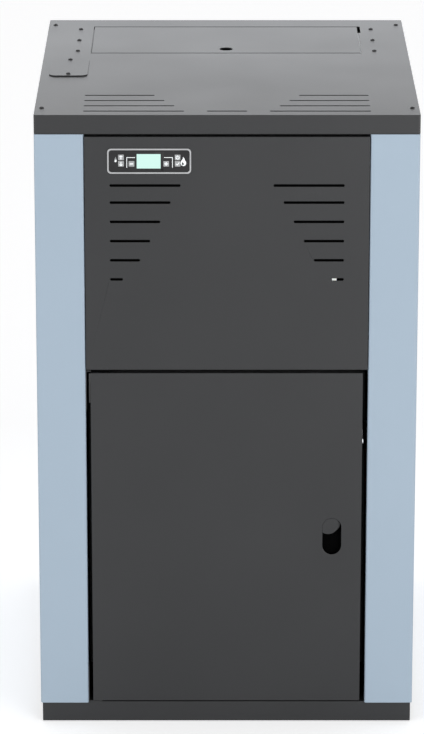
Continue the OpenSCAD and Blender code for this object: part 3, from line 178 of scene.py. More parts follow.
def effect(name, inputs, outputs, build):
    """A shader node group. build gets the tree and its input sockets, and returns the output sockets."""
    tree = bpy.data.node_groups.new(name, "ShaderNodeTree")
    for label, value in inputs:
        tree.interface.new_socket(label, in_out="INPUT", socket_type="NodeSocketFloat").default_value = value
    for label in outputs:
        tree.interface.new_socket(label, in_out="OUTPUT", socket_type="NodeSocketFloat")
    start = put(tree, "NodeGroupInput")
    end = put(tree, "NodeGroupOutput")
    for socket, value in zip(end.inputs, build(tree, start.outputs)):
        tree.links.new(value, socket)
    return tree


def build_powder(tree, given):
    """Baked powder paint: soft orange peel with a fine speckle."""
    where = place(tree)
    peel = noise(tree, where, given["Scale"], 2.0)
    speckle = noise(tree, where, calc(tree, "MULTIPLY", given["Scale"], 3.1), 1.0)
    cloud = noise(tree, where, 5.0, 2.0)
    shade = mix_value(tree, 0.45, spread(tree, speckle, 0.3, 0.7), spread(tree, cloud, 0.25, 0.75))
    return shade, mix_value(tree, 0.35, peel, speckle)


def build_brushed(tree, given):
    """Rolled or drawn metal: long streaks with a few cloudy marks."""
    where = place(tree, (1, 1, 0.04))
    streak = noise(tree, where, given["Scale"], 4.0, 0.7)
    cloud = noise(tree, place(tree), 9.0, 4.0)
    return mix_value(tree, 0.5, spread(tree, streak, 0.25, 0.75), spread(tree, cloud, 0.3, 0.7)), streak


def build_cast(tree, given):
    """Sand-cast skin: coarse lumps with fine grit."""
    where = place(tree)
    lumps = noise(tree, where, given["Scale"], 5.0, 0.65)
    grit = noise(tree, where, calc(tree, "MULTIPLY", given["Scale"], 6.0), 2.0)
    return spread(tree, lumps, 0.3, 0.7), mix_value(tree, 0.4, lumps, grit)


def build_spangle(tree, given):
    """Zinc crystals: flat patches of slightly different grey with hardly any relief."""
    where = place(tree)
    bent = put(tree, "ShaderNodeTexNoise", Vector=where, Scale=30.0, Detail=2.0).outputs[1]
    pushed = mix_colour(tree, 0.02, where, bent)
    cells = put(tree, "ShaderNodeTexVoronoi", Vector=pushed, Scale=given["Scale"])
    patch = put(tree, "ShaderNodeSeparateColor", Color=cells.outputs["Color"]).outputs[0]
    return patch, mix_value(tree, 0.5, patch, noise(tree, where, 400.0))


def build_fibre(tree, given):
    """Pressed mineral fibre: crossing strands."""
    along = noise(tree, place(tree, (1, 0.08, 1)), given["Scale"], 4.0, 0.7)
    across = noise(tree, place(tree, (1, 1, 0.1)), given["Scale"], 4.0, 0.7)
    height = calc(tree, "MAXIMUM", along, across)
    return spread(tree, height, 0.35, 0.75), height


def build_moulded(tree, given):
    """Moulded plastic or rubber: a fine even spark-eroded grain."""
    where = place(tree)
    grain = noise(tree, where, given["Scale"], 2.0)
    return spread(tree, noise(tree, where, 40.0, 3.0), 0.3, 0.7), grain


def build_dust(tree, given):
    """Thin dust on faces that look up, in soft patches."""
    normal = put(tree, "ShaderNodeNewGeometry").outputs["Normal"]
    upward = put(tree, "ShaderNodeSeparateXYZ", Vector=normal).outputs[2]
    lying = spread(tree, upward, 0.5, 1.0)
    patches = spread(tree, noise(tree, place(tree), 7.0, 4.0), 0.3, 0.8)
    return [calc(tree, "MULTIPLY", calc(tree, "MULTIPLY", lying, patches), given["Level"])]


SURFACES = ["Shade", "Height"]
EFFECTS = {
    "powder": effect("powder_paint", [("Scale", 700.0)], SURFACES, build_powder),
    "brushed": effect("rolled_metal", [("Scale", 900.0)], SURFACES, build_brushed),
    "cast": effect("cast_skin", [("Scale", 220.0)], SURFACES, build_cast),
    "spangle": effect("zinc_spangle", [("Scale", 70.0)], SURFACES, build_spangle),
    "fibre": effect("pressed_fibre", [("Scale", 300.0)], SURFACES, build_fibre),
    "moulded": effect("moulded_grain", [("Scale", 1500.0)], SURFACES, build_moulded),
}
DUST = effect("dust_film", [("Level", 0.1)], ["Amount"], build_dust)
MATERIALS = {}


def finish(name, grain, scale, low, high, rough, metallic=0.0, bump=0.05, relief_mm=0.05, dust=0.0, **extra):
    """A material whose colour and roughness run from low to high with the grain's shade."""
    dust_colour, dust_roughness = (0.42, 0.41, 0.39, 1), 0.9
    material = bpy.data.materials.new(name)
    tree = empty_tree(material)
    surface = put(tree, "ShaderNodeGroup", {"node_tree": EFFECTS[grain]}, Scale=scale)
    colour = mix_colour(tree, surface.outputs["Shade"], (*low, 1), (*high, 1))
    roughness = mix_value(tree, surface.outputs["Shade"], rough[0], rough[1])
    if dust:
        film = put(tree, "ShaderNodeGroup", {"node_tree": DUST}, Level=dust).outputs["Amount"]
        colour = mix_colour(tree, film, colour, dust_colour)
        roughness = mix_value(tree, film, roughness, dust_roughness)
    relief = relief_mm * MM
    bumped = put(tree, "ShaderNodeBump", Height=surface.outputs["Height"], Strength=bump, Distance=relief)
    shader = put(tree, "ShaderNodeBsdfPrincipled", Base_Color=colour, Roughness=roughness,
                 Metallic=metallic, Normal=bumped.outputs[0], **extra)
    put(tree, "ShaderNodeOutputMaterial", Surface=shader.outputs[0])
    MATERIALS[name] = material
    return material


def board_finish():
    """Green lacquer with pale copper tracks under it."""
    dark, light = (0.01, 0.10, 0.04), (0.015, 0.13, 0.05)
    material = finish("circuit_board", "moulded", 1500.0, dark, light, (0.3, 0.4), relief_mm=0.1)
    tree = material.node_tree
    shader = tree.nodes["Principled BSDF"]
    base = shader.inputs["Base Color"].links[0].from_socket
    bricks = put(
        tree, "ShaderNodeTexBrick", {"offset": 0.37, "squash": 1.7, "squash_frequency": 3},
        Vector=place(tree), Scale=95.0, Mortar_Size=0.035, Brick_Width=0.9, Row_Height=0.22,
    )
    tracks = mix_colour(tree, bricks.outputs["Fac"], base, (0.05, 0.26, 0.12, 1))
    tree.links.new(tracks, shader.inputs["Base Color"])


def make_materials():
    """One material for each slot of the record, and some for the added pieces."""
    finish("graphite_coat", "powder", 700.0, (0.024, 0.025, 0.0265), (0.030, 0.031, 0.033), (0.36, 0.44),
           bump=0.10, relief_mm=0.12, dust=0.03, IOR=1.52)
    finish("blue_coat", "powder", 700.0, (0.375, 0.468, 0.562), (0.395, 0.490, 0.585), (0.36, 0.44),
           bump=0.10, relief_mm=0.12, dust=0.02, IOR=1.5)
    finish("galvanised", "spangle", 75.0, (0.46, 0.48, 0.50), (0.66, 0.68, 0.70), (0.42, 0.30),
           metallic=0.9, bump=0.06, relief_mm=0.1, dust=0.08)
    finish("raw_steel", "brushed", 700.0, (0.19, 0.195, 0.205), (0.34, 0.345, 0.355), (0.52, 0.36),
           metallic=0.85, bump=0.10, relief_mm=0.1, dust=0.12)
    finish("cast_iron", "cast", 260.0, (0.035, 0.034, 0.034), (0.075, 0.073, 0.072), (0.66, 0.50),
           metallic=0.5, bump=0.35, relief_mm=0.4, dust=0.15)
    finish("zinc_plated", "brushed", 1200.0, (0.56, 0.57, 0.58), (0.72, 0.73, 0.75), (0.34, 0.24),
           metallic=1.0)
    finish("brass_fittings", "brushed", 900.0, (0.42, 0.27, 0.09), (0.66, 0.46, 0.19), (0.42, 0.26),
           metallic=1.0, bump=0.08, relief_mm=0.06, dust=0.06)
    finish("black_steel", "brushed", 1200.0, (0.012, 0.012, 0.013), (0.030, 0.030, 0.031), (0.50, 0.38),
           metallic=0.3, bump=0.06)
    finish("foil", "brushed", 300.0, (0.62, 0.63, 0.64), (0.78, 0.79, 0.80), (0.34, 0.22),
           metallic=1.0, bump=0.25, relief_mm=0.4)
    finish("weld", "cast", 500.0, (0.16, 0.155, 0.15), (0.34, 0.33, 0.32), (0.50, 0.34),
           metallic=0.9, bump=0.2, relief_mm=0.3)
    finish("black_plastic", "moulded", 1600.0, (0.010, 0.010, 0.011), (0.014, 0.014, 0.015), (0.38, 0.46),
           bump=0.06, IOR=1.46)
    finish("white_plastic", "moulded", 1600.0, (0.74, 0.74, 0.72), (0.80, 0.80, 0.78), (0.38, 0.48),
           IOR=1.46, Subsurface_Weight=0.1, Subsurface_Scale=0.002)
    finish("grey_plastic", "moulded", 1600.0, (0.46, 0.465, 0.475), (0.50, 0.505, 0.515), (0.36, 0.46),
           bump=0.06, IOR=1.46)
    finish("key_plastic", "moulded", 1600.0, (0.37, 0.38, 0.385), (0.42, 0.43, 0.435), (0.30, 0.38),
           bump=0.04, IOR=1.48, Coat_Weight=0.2, Coat_Roughness=0.2)
    finish("lcd_glass", "moulded", 900.0, (0.10, 0.14, 0.13), (0.11, 0.15, 0.14), (0.12, 0.16),
           bump=0.01, relief_mm=0.02, IOR=1.5,
           Emission_Color=(0.61, 0.90, 0.82, 1), Emission_Strength=0.9)
    board_finish()
    finish("mineral_wool", "fibre", 260.0, (0.40, 0.36, 0.20), (0.66, 0.61, 0.40), (0.95, 0.85),
           bump=0.8, relief_mm=1.5, Sheen_Weight=0.3, Sheen_Roughness=0.6)
    finish("vermiculite", "cast", 420.0, (0.42, 0.36, 0.22), (0.70, 0.62, 0.42), (0.92, 0.80),
           bump=0.5, relief_mm=0.6, dust=0.05)
    finish("ceramic", "moulded", 700.0, (0.76, 0.75, 0.71), (0.82, 0.81, 0.78), (0.45, 0.6))
    finish("red_plastic", "moulded", 1600.0, (0.42, 0.018, 0.014), (0.48, 0.024, 0.018), (0.34, 0.42),
           IOR=1.48)
    finish("red_coat", "powder", 600.0, (0.40, 0.022, 0.016), (0.46, 0.028, 0.020), (0.30, 0.38),
           bump=0.1, relief_mm=0.12, dust=0.1, IOR=1.5)
    finish("rubber", "moulded", 900.0, (0.012, 0.012, 0.012), (0.022, 0.022, 0.022), (0.62, 0.78),
           bump=0.12, relief_mm=0.1)
    finish("rope", "fibre", 700.0, (0.16, 0.155, 0.15), (0.36, 0.35, 0.33), (0.95, 0.88),
           bump=0.7, relief_mm=0.5, Sheen_Weight=0.3, Sheen_Roughness=0.6)
    # Near-black finish that stands for painted shade in slots, holes and gaps.
    finish("painted_shade_black", "fibre", 500.0, (0.0006, 0.0006, 0.0007), (0.0015, 0.0015, 0.0016), (0.95, 0.85),
           bump=0.3, relief_mm=0.3, Specular_IOR_Level=0.04)
    # Pale finish used only for the painted highlight strip beside the lid.
    finish("print", "moulded", 2000.0, (0.68, 0.72, 0.73), (0.76, 0.79, 0.80), (0.45, 0.55),
           bump=0.02, relief_mm=0.02)
    finish("dark_print", "moulded", 2000.0, (0.05, 0.055, 0.06), (0.08, 0.085, 0.09), (0.45, 0.55),
           bump=0.02, relief_mm=0.02)
    # The weak emission is a painted glow that makes the printed glyphs read white.
    finish("print_painted_glow", "moulded", 2000.0, (0.72, 0.75, 0.76), (0.78, 0.81, 0.82), (0.45, 0.55),
           bump=0.02, relief_mm=0.02, Emission_Color=(0.95, 1.0, 1.0, 1), Emission_Strength=0.3)


make_materials()

# Width in millimetres of the rounded edge that each node gets
EDGES = {
    "base_tray": 0.8, "left_side_panel": 0.3, "right_side_panel": 0.3, "top_cover": 0.5,
    "service_plate": 0.4, "upper_front_panel": 0.7, "front_door": 0.7, "hopper_lid": 0.6,
    "control_bezel": 0.3, "terminal_block": 0.4, "magnet_catch": 0.5, "fire_door": 1.2,
    "burner_seat": 1.0, "fire_door_handle": 0.5, "power_inlet": 0.5, "power_rocker": 0.4,
    "drain_handle": 0.6, "ash_pan": 0.4, "door_lock": 0.3, "circulation_pump": 1.2,
    "exchanger_cover": 0.6, "safety_group": 0.8, "hinge_brackets": 0.3, "fire_door_lining": 1.0,
    "key_back": 0.7, "key_menu": 0.7, "key_minus": 0.7, "key_plus": 0.7, "key_set": 0.7,
    "key_start": 0.7, "insulation": 2.0, "auger_gearmotor": 1.2, "smoke_box": 0.6, "boiler_body": 0.8,
}


def dress_nodes():
    """Gives every CAD node its slot's material, and rounds the edges that the light would catch."""
    joined_below = 0.00001
    flat_below = math.radians(0.5)
    round_above = math.radians(35)
    slots = {row["node"]: row["material_slot"] for row in frame["record"]["subparts"]}
    for name, node in nodes.items():
        node.data.materials.clear()
        node.data.materials.append(MATERIALS[slots[name]])
        if name not in EDGES:
            continue
        weld = node.modifiers.new("weld", "WELD")
        weld.merge_threshold = joined_below
        flat = node.modifiers.new("flat", "DECIMATE")
        flat.decimate_type = "DISSOLVE"
        flat.angle_limit = flat_below
        bevel = node.modifiers.new("edge", "BEVEL")
        bevel.width = EDGES[name] * MM
        bevel.segments = 2
        bevel.limit_method = "ANGLE"
        bevel.angle_limit = round_above
        bevel.use_clamp_overlap = False
        node.modifiers.new("normals", "WEIGHTED_NORMAL")


dress_nodes()


# Mesh helpers. Every builder adds to a bmesh in millimetres.


def around(radius, turns):
    """Points on a circle at the given angles in degrees."""
    angles = [math.radians(turn) for turn in turns]
    return [(radius * math.cos(angle), radius * math.sin(angle)) for angle in angles]


def circle(radius, sides):
    """Points of a regular polygon on a circle."""
    return around(radius, [360 * k / sides for k in range(sides)])


def rectangle_path(x0, x1, z0, z1, y, corner, pitch=math.inf):
    """Closed path round a rectangle in a plane that faces -Y, with round corners, a point every pitch."""
    left, right = x0 + corner, x1 - corner
    low, high = z0 + corner, z1 - corner
    arcs = []
    for x, z, start in ((right, high, 0), (left, high, 90), (left, low, 180), (right, low, 270)):
        turns = [start + step * 22.5 for step in range(5)]
        arcs.append([Vector((x + dx, y, z + dz)) for dx, dz in around(corner, turns)])
    path = []
    for arc, following in zip(arcs, arcs[1:] + arcs[:1]):
        path += arc
        steps = int((following[0] - arc[-1]).length / pitch)
        path += [arc[-1].lerp(following[0], step / steps) for step in range(1, steps)]
    return path


def along(origin, axis, turn=0.0):
    """Matrix that puts local +Z on axis and the local origin on origin."""
    quaternion = Vector(axis).to_track_quat("Z", "Y")
    return Matrix.Translation(origin) @ quaternion.to_matrix().to_4x4() @ Matrix.Rotation(turn, 4, "Z")


def add_box(bm, x0, x1, y0, y1, z0, z1, bevel=0.0, where=None):
    """Box between two corners with its edges rounded."""
    made = bmesh.ops.create_cube(bm, size=1.0)["verts"]
    for vert in made:
        vert.co = Vector((
            (x0 + x1) / 2 + vert.co.x * (x1 - x0),
            (y0 + y1) / 2 + vert.co.y * (y1 - y0),
            (z0 + z1) / 2 + vert.co.z * (z1 - z0),
        ))
    if where:
        bmesh.ops.transform(bm, matrix=where, verts=made)
    if bevel:
        edges = list({edge for vert in made for edge in vert.link_edges})
        bmesh.ops.bevel(bm, geom=edges, offset=bevel, segments=2, profile=0.5, affect="EDGES")


def add_lathe(bm, profile, where, sides=24):
    """Turned form: profile lists (radius, height) from the axis, round the matrix's Z."""
    rings = []
    for radius, height in profile:
        if radius < 0.001:
            rings.append([bm.verts.new(where @ Vector((0, 0, height)))])
            continue
        rings.append([bm.verts.new(where @ Vector((x, y, height))) for x, y in circle(radius, sides)])
    for low, high in zip(rings, rings[1:]):
        for step in range(sides):
            nxt = (step + 1) % sides
            bottom = [low[step % len(low)], low[nxt % len(low)]]
            top = [high[nxt % len(high)], high[step % len(high)]]
            unique = list(dict.fromkeys(bottom + top))
            if len(unique) > 2:
                bm.faces.new(unique)


def add_sweep(bm, path, section, closed=False, swell=None):
    """Carries a closed 2D section along a path. swell(step) scales the section at each point."""
    points = [Vector(p) for p in path]
    count = len(points)
    up = Vector((0, 0, 1))
    rings = []
    for step, point in enumerate(points):
        before = points[step - 1] if step or closed else point
        after = points[(step + 1) % count] if step + 1 < count or closed else point
        ahead = (after - before).normalized()
        side = ahead.cross(up)
        if side.length < 0.05:
            side = ahead.cross(Vector((0, 1, 0)))
        side.normalize()
        rise = side.cross(ahead)
        size = swell(step) if swell else 1.0
        rings.append([bm.verts.new(point + side * a * size + rise * b * size) for a, b in section])
    pairs = list(zip(rings, rings[1:]))
    if closed:
        pairs.append((rings[-1], rings[0]))
    for low, high in pairs:
        for k in range(len(section)):
            n = (k + 1) % len(section)
            bm.faces.new((low[k], low[n], high[n], high[k]))
    if not closed:
        bm.faces.new(rings[0][::-1])
        bm.faces.new(rings[-1])


def add_prism(bm, outline, where, depth):
    """Flat form with the given outline, depth thick along the matrix's Z."""
    low = [bm.verts.new(where @ Vector((x, y, 0))) for x, y in outline]
    high = [bm.verts.new(where @ Vector((x, y, depth))) for x, y in outline]
    count = len(outline)
    bm.faces.new(low[::-1])
    bm.faces.new(high)
    for k in range(count):
        n = (k + 1) % count
        bm.faces.new((low[k], low[n], high[n], high[k]))


def cross_outline(reach, half):
    """Outline of an upright cross, anticlockwise."""
    quarter = [(half, -reach), (half, -half), (reach, -half)]
    turned = []
    for k in range(4):
        c, s = round(math.cos(k * math.pi / 2)), round(math.sin(k * math.pi / 2))
        turned += [(c * x - s * y, s * x + c * y) for x, y in quarter]
    return turned


def add_screw(bm, where, radius=3.6, height=2.0):
    """Pan head with a cross recess; the matrix's Z points out of the head."""
    sides = 24
    flat = radius * 0.62
    recess = radius * 0.5
    profile = [(radius, 0), (radius * 0.97, height * 0.55), (radius * 0.82, height * 0.88), (flat, height)]
    add_lathe(bm, profile, where, sides)
    rim = list(bm.verts)[-sides:]
    outline = cross_outline(recess, recess * 0.3)
    top = [bm.verts.new(where @ Vector((x, y, height))) for x, y in outline]
    floor = [bm.verts.new(where @ Vector((x * 0.75, y * 0.75, height * 0.25))) for x, y in outline]
    count = len(outline)
    edges = []
    for loop in (rim, top):
        for k in range(len(loop)):
            n = (k + 1) % len(loop)
            edges.append(bm.edges.get((loop[k], loop[n])) or bm.edges.new((loop[k], loop[n])))
    bmesh.ops.triangle_fill(bm, use_beauty=True, edges=edges)
    for k in range(count):
        n = (k + 1) % count
        bm.faces.new((top[k], top[n], floor[n], floor[k]))
    bm.faces.new(floor)


def add_hex_bolt(bm, where, across=10.0, height=6.0):
    """Hexagon head on a washer."""
    add_lathe(bm, [(across * 0.85, 0), (across * 0.85, 1.2), (across * 0.8, 1.5), (0, 1.5)], where, 24)
    radius = across / math.sqrt(3)
    top = height + 1.5
    body = [(radius, 1.5), (radius, top - 0.8), (radius * 0.88, top), (0, top)]
    add_lathe(bm, body, where, 6)


def piece(name, build, material, body="cabinet", replaces=()):
    """Turns a builder into an object that rides on a body."""
    smooth_below = math.radians(35)
    bm = bmesh.new()
    build(bm)
    bmesh.ops.recalc_face_normals(bm, faces=bm.faces)
    bmesh.ops.scale(bm, vec=(MM, MM, MM), verts=bm.verts)
    mesh = bpy.data.meshes.new(name)
    bm.to_mesh(mesh)
    bm.free()
    mesh.shade_smooth()
    mesh.set_sharp_from_angle(angle=smooth_below)
    mesh.materials.append(MATERIALS[material])
    made = add_object(name, mesh)
    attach(made, body)
    if replaces:
        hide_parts(*replaces)


# Outside of the cabinet


def build_cover_screws(bm):
    """Screw heads of the cover and the service plate."""
    for x, y in SCREW_SPOTS:
        add_screw(bm, along((x, y, TOP_Z), (0, 0, 1), 0.3 * x))
    for x, y in PLATE_SCREWS:
        add_screw(bm, along((x, y, TOP_Z + 2), (0, 0, 1), 0.7 * y))


def line(bm, x0, x1, z0, z1):
    """Printed stroke on the control window."""
    add_box(bm, x0, x1, FASCIA_FACE - 0.08, FASCIA_FACE + 0.05, z0, z1)


def drop_outline(size, slim=1.0):
    """Water drop, point up."""
    round_part = around(0.62 * size, [150 - k * 25 for k in range(13)])
    return [(0, 1.15 * size)] + [(x * slim, y - 0.25 * size) for x, y in round_part]


def flame_outline(size):
    """Flame with a bent tip."""
    shape = [
        (-0.05, 1.2), (-0.15, 0.75), (-0.5, 0.3), (-0.62, -0.2), (-0.45, -0.65), (0, -0.85), (0.45, -0.65),
        (0.62, -0.15), (0.5, 0.25), (0.3, 0.45), (0.25, 0.8),
    ]
    return [(x * size, y * size) for x, y in shape]


def on_window(x, z, y=FASCIA_FACE + 0.05):
    """Frame on the control window with local X to the right, Y up and Z towards the viewer."""
    return Matrix.Translation((x, y, z)) @ Matrix.Rotation(math.pi / 2, 4, "X")


def build_window_marks(bm):
    """Thin lines round the plus and minus keys, and a drop and a flame at the ends."""
    depth = 0.13
    for side in (-1, 1):
        outer = CTRL_X + 0.7 + side * 35.5
        inner = CTRL_X + 0.7 + side * 22.6
        line(bm, min(inner, outer), max(inner, outer), CTRL_Z + 5.4, CTRL_Z + 6.4)
        line(bm, outer - 0.5, outer + 0.5, CTRL_Z - 10.4, CTRL_Z + 6.4)
    add_prism(bm, drop_outline(4.3, 0.7), on_window(CTRL_X - 52.2, CTRL_Z + 2.2), depth)
    add_prism(bm, flame_outline(7.2), on_window(CTRL_X + 53.2, CTRL_Z - 1.8), depth)


def build_flame_core(bm):
    """Dark drop inside the flame."""
    add_prism(bm, drop_outline(2.8), on_window(CTRL_X + 52.2, CTRL_Z - 4.0, FASCIA_FACE - 0.08), 0.05)


def build_display_mask(bm):
    """Dark edge printed round the display's lit field."""
    right = (-103.2, -98.8, 922.4, 951)
    top = (-143.2, -103.2, 948.1, 951)
    foot = (-143.2, -98.8, 922.0, 923.4)
    for x0, x1, z0, z1 in (right, top, foot):
        add_box(bm, x0, x1, FASCIA_FACE - 0.2, FASCIA_FACE + 0.05, z0, z1, 0.05)


def stroke(bm, where, x0, y0, x1, y1, width=0.7):
    """Straight bar between two points of a glyph."""
    start, end = Vector((x0, y0)), Vector((x1, y1))
    ahead = (end - start).normalized()
    side = Vector((-ahead.y, ahead.x)) * width / 2
    corners = [start - side, end - side, end + side, start + side]
    add_prism(bm, [(p.x, p.y) for p in corners], where, INK)


def ring_arc(bm, where, radius, start, end, width):
    """Part of a ring in a glyph, from one angle to another."""
    steps = 16
    turns = [start + (end - start) * k / steps for k in range(steps + 1)]
    outer = around(radius + width / 2, turns)
    inner = around(radius - width / 2, turns)
    add_prism(bm, outer + inner[::-1], where, INK)


# Place on the window, width of the strokes and the strokes from point to point
KEYS = {
    "key_back": (-43.8, 6, 1.3, [(0, -3, 0, 3), (-0.2, 3, -2.2, 0.8), (0.2, 3, 2.2, 0.8)]),
    "key_menu": (-43.8, -4.2, 1.3, [(0, 3, 0, -3), (-0.2, -3, -2.2, -0.8), (0.2, -3, 2.2, -0.8)]),
    "key_minus": (-27.5, -4.2, 1.7, [(-2.8, 0, 2.8, 0)]),
    "key_plus": (26.4, -4.2, 1.7, [(-2.8, 0, 2.8, 0), (0, -2.8, 0, 2.8)]),
    "key_set": (44.2, -4.2, 1.2, [(-2.4, 0.2, -0.6, -2.2), (-0.9, -2.0, 2.6, 2.4)]),
    "key_start": (44.2, 6, 1.2, [(0, 0.2, 0, 3.4)]),
}


def build_key_mark(bm, name):
    """Glyph of one key; the start key's has a ring as well."""
    x, z, width, strokes = KEYS[name]
    where = on_window(CTRL_X + x, CTRL_Z + z, KEY_FACE + 0.01)
    for bar in strokes:
        stroke(bm, where, *bar, width)
    if name == "key_start":
        ring_arc(bm, where, 2.5, 125, 415, width)


def make_key_marks():
    """One piece for each key, riding on it."""
    for name in KEYS:
        piece(name + "_mark", lambda bm, key=name: build_key_mark(bm, key), "print_painted_glow", name)


def build_lid_seal(bm):
    """Hollow rubber profile on the hopper's rim, pressed by the lid's folded edge."""
    rim_z = 991.5
    path = [(point.x, point.z, rim_z) for point in rectangle_path(-214, 214, 99, 277, 0, 6)]
    right_half = [(4, 0.1), (4, 0.8), (2.2, 1.2), (1.4, 2.4)]
    section = right_half + [(0, 2.8)] + [(-x, y) for x, y in right_half[::-1]]
    add_sweep(bm, path, section, closed=True)


def build_rear_screws(bm):
    """Self-tapping screws that hold the rear panel and the flange plates."""
    for x in (-290, 290):
        for z in (70, 245, 420, 595, 770, 945):
            add_screw(bm, along((x, REAR_Y, z), (0, 1, 0), 0.11 * z))
    for x in (-150, 0, 150):
        for z in (52, 962):
            add_screw(bm, along((x, PANEL_Y, z), (0, 1, 0), 0.1 * z + x))
    flange_y = 345.2
    for centre_x, centre_z, reach, radius, height in ((-56.5, 233, 47, 3.0, 1.8), (0, 130, 31, 2.6, 1.6)):
        for x, z in around(reach, DIAGONALS):
            add_screw(bm, along((centre_x + x, flange_y, centre_z + z), (0, 1, 0)), radius, height)
    for z in (562.5, 617.5):
        for x in (177, 223):
            add_screw(bm, along((x, 346.5, z), (0, 1, 0), z), 1.8, 1.2)


def build_wall_bushes(bm):
    """Rubber bushes where the pipes pass the rear panel."""
    for x, z, inner in ((PIPE_X, SUPPLY_Z, 13.2), (PIPE_X, RETURN_Z, 13.2), (-PIPE_X, 100, 10.2)):
        outer = inner + 3.4
        profile = [(inner, 0), (outer, 0), (outer, 0.9), (outer - 0.7, 1.4)]
        profile += [(inner + 0.6, 1.4), (inner, 1.0), (inner, 0)]
        add_lathe(bm, profile, along((x, PANEL_Y, z), (0, 1, 0)), 32)


def dress_outside():
    """Makes the pieces on the outside, except the door's."""
    piece("cover_screw_heads", build_cover_screws, "black_steel", replaces=["cover_screws"])
    piece("window_marks", build_window_marks, "print_painted_glow")
    piece("flame_core", build_flame_core, "dark_print")
    piece("display_mask", build_display_mask, "black_plastic")
    make_key_marks()
    piece("lid_seal", build_lid_seal, "rubber")
    piece("rear_screws", build_rear_screws, "zinc_plated")
    piece("wall_bushes", build_wall_bushes, "rubber")


dress_outside()


# Behind the front door


def build_door_ribs(bm):
    """Two folded stiffeners welded inside the door."""
    for x in (-95, 60):
        near = [(-22, 0), (-12, 0), (-9, 11), (9, 11), (12, 0), (22, 0)]
        far = [(22, 1.2), (13, 1.2), (10, 12.2), (-10, 12.2), (-13, 1.2), (-22, 1.2)]
        add_prism(bm, near + far, Matrix.Translation((x, DOOR_INNER_Y + 0.02, 75)), 480)
        for z in range(90, 550, 46):
            for side in (-1, 1):
                spot = along((x + side * 17.5, DOOR_INNER_Y + 1.2, z), (0, 1, 0))
                add_lathe(bm, [(2.6, 0), (2.2, 0.25), (1.2, 0.1), (0, 0.05)], spot, 12)


def build_door_tape(bm):
    """Foam tape along the door's folded edges, where it meets the cabinet."""
    path = rectangle_path(-212, 206, DOOR_LOW + 6, DOOR_TOP - 6, -324.6, 4, 60)
    section = [(-2.2, -1), (2.2, -1), (2.2, 0.6), (1.4, 1), (-1.4, 1), (-2.2, 0.6)]
    add_sweep(bm, path, section, closed=True)


def build_strike_nib(bm):
    """Pressed nib on the strike plate, seen as a glint in the door's right gap."""
    path = [(215.4, -340.6, z) for z in (473.8, 474.3, 475.3, 477.0, 479.2, 481.6, 484.2, 486.0)]
    widths = [0.4, 0.8, 1.0, 0.95, 0.7, 0.45, 0.28, 0.1]
    add_sweep(bm, path, circle(1.7, 16), swell=lambda step: widths[step])


def build_strike_shade_trim(bm):
    """Rubber over the edges of the strike plate and its flange; it is dark, so that it also stands as
    painted shade in the door's right gap.
    """
    add_box(bm, 214.85, 216.0, -341.6, -340.6, 481.2, 488.4, 0.2)
    for z0, z1 in ((463.5, 473.2), (491.8, 498.5)):
        add_box(bm, 214.85, 216.0, -326.2, -323.7, z0, z1, 0.3)


def build_catch_shade_pad(bm):
    """Near-black pad on the face of the magnet catch, painted shade that keeps the door's right gap dark."""
    add_box(bm, 216.3, 222.9, -323.9, -322.35, 459.5, 502.5, 0.3)


def build_hinge_cover(bm):
    """Painted cover on the door's edge at the top hinge."""
    add_box(bm, -217.8, -215.45, -343.4, -341.4, 542, 590.6, 0.35)


def build_hinge_shade_strip(bm):
    """Near-black strip over the hinge bracket, painted shade in the gap above the door."""
    add_box(bm, -214.5, -186, -342.3, -341.3, 591.9, 596.9, 0.2)


def build_rear_seal(bm):
    """Rubber strip along the foot of the rear panel, so no light comes in."""
    for y0, y1, z1 in ((339.6, 341.9, 40.0), (336.2, 339.7, 35.2)):
        add_box(bm, -294, 294, y0, y1, 33.6, z1, 0.3)


def build_fire_seal(bm):
    """Braided rope round the fire door's rim."""
    path = rectangle_path(-164, 164, 221, 544, -299.0, 3, 2.6)
    section = []
    for c, s in circle(1, 14):
        section.append((math.copysign(abs(c) ** 0.5, c) * 6.5, math.copysign(abs(s) ** 0.5, s) * 1.9))
    add_sweep(bm, path, section, closed=True, swell=lambda step: 1.0 if step % 2 else 0.93)


def build_fire_bolts(bm):
    """Bolts that hold the lining, and the plate under the handle's hub."""
    for x in (-150, 100):
        for z in (240, 322, 443, 525):
            add_hex_bolt(bm, along((x, FIRE_DOOR_Y - 7, z), (0, -1, 0), 0.4), 9.0, 3.2)
    hub = along((138, FIRE_DOOR_Y - 7, 382.5), (0, -1, 0))
    add_lathe(bm, [(20, 0), (20, 0.8), (19, 1.1), (6.6, 1.1), (6.6, 0)], hub, 32)


def build_handle_grip(bm):
    """Moulded grip on the fire door's lever."""
    y = FIRE_DOOR_Y - 13.25
    outline = [(7.4 * x, 2.4 * y) for x, y in circle(1, 24)]
    path = [(138, y, z) for z in (341, 340, 334, 322, 308, 300, 296, 294.5)]
    widths = [0.86, 0.94, 1.0, 0.98, 1.04, 1.0, 0.8, 0.5]
    add_sweep(bm, path, outline, swell=lambda step: widths[step])


def add_bead(bm, start, end, radius):
    """Weld bead: overlapping ripples between two points."""
    pitch = 3.0
    ripple = (1.0, 1.12, 0.9)
    start, end = Vector(start), Vector(end)
    steps = max(2, int((end - start).length / pitch * 3))
    path = [start.lerp(end, k / steps) for k in range(steps + 1)]
    add_sweep(bm, path, circle(radius, 8), swell=lambda step: ripple[step % 3])


def build_body_welds(bm):
    """Beads along the boiler's corners, round its front and over its feet."""
    front, back = BODY_FRONT + 0.4, BODY_BACK - 0.4
    for x in (-199.6, 199.6):
        for y in (front, back):
            add_bead(bm, (x, y, 76), (x, y, 849), 2.4)
    for z in (75.4, 849.6):
        add_bead(bm, (-199, front, z), (199, front, z), 2.2)
    for x in (-190, 190):
        for y in (BODY_FRONT + 20, BODY_BACK - 20):
            add_bead(bm, (x - 19, y, 74.6), (x + 19, y, 74.6), 2.2)


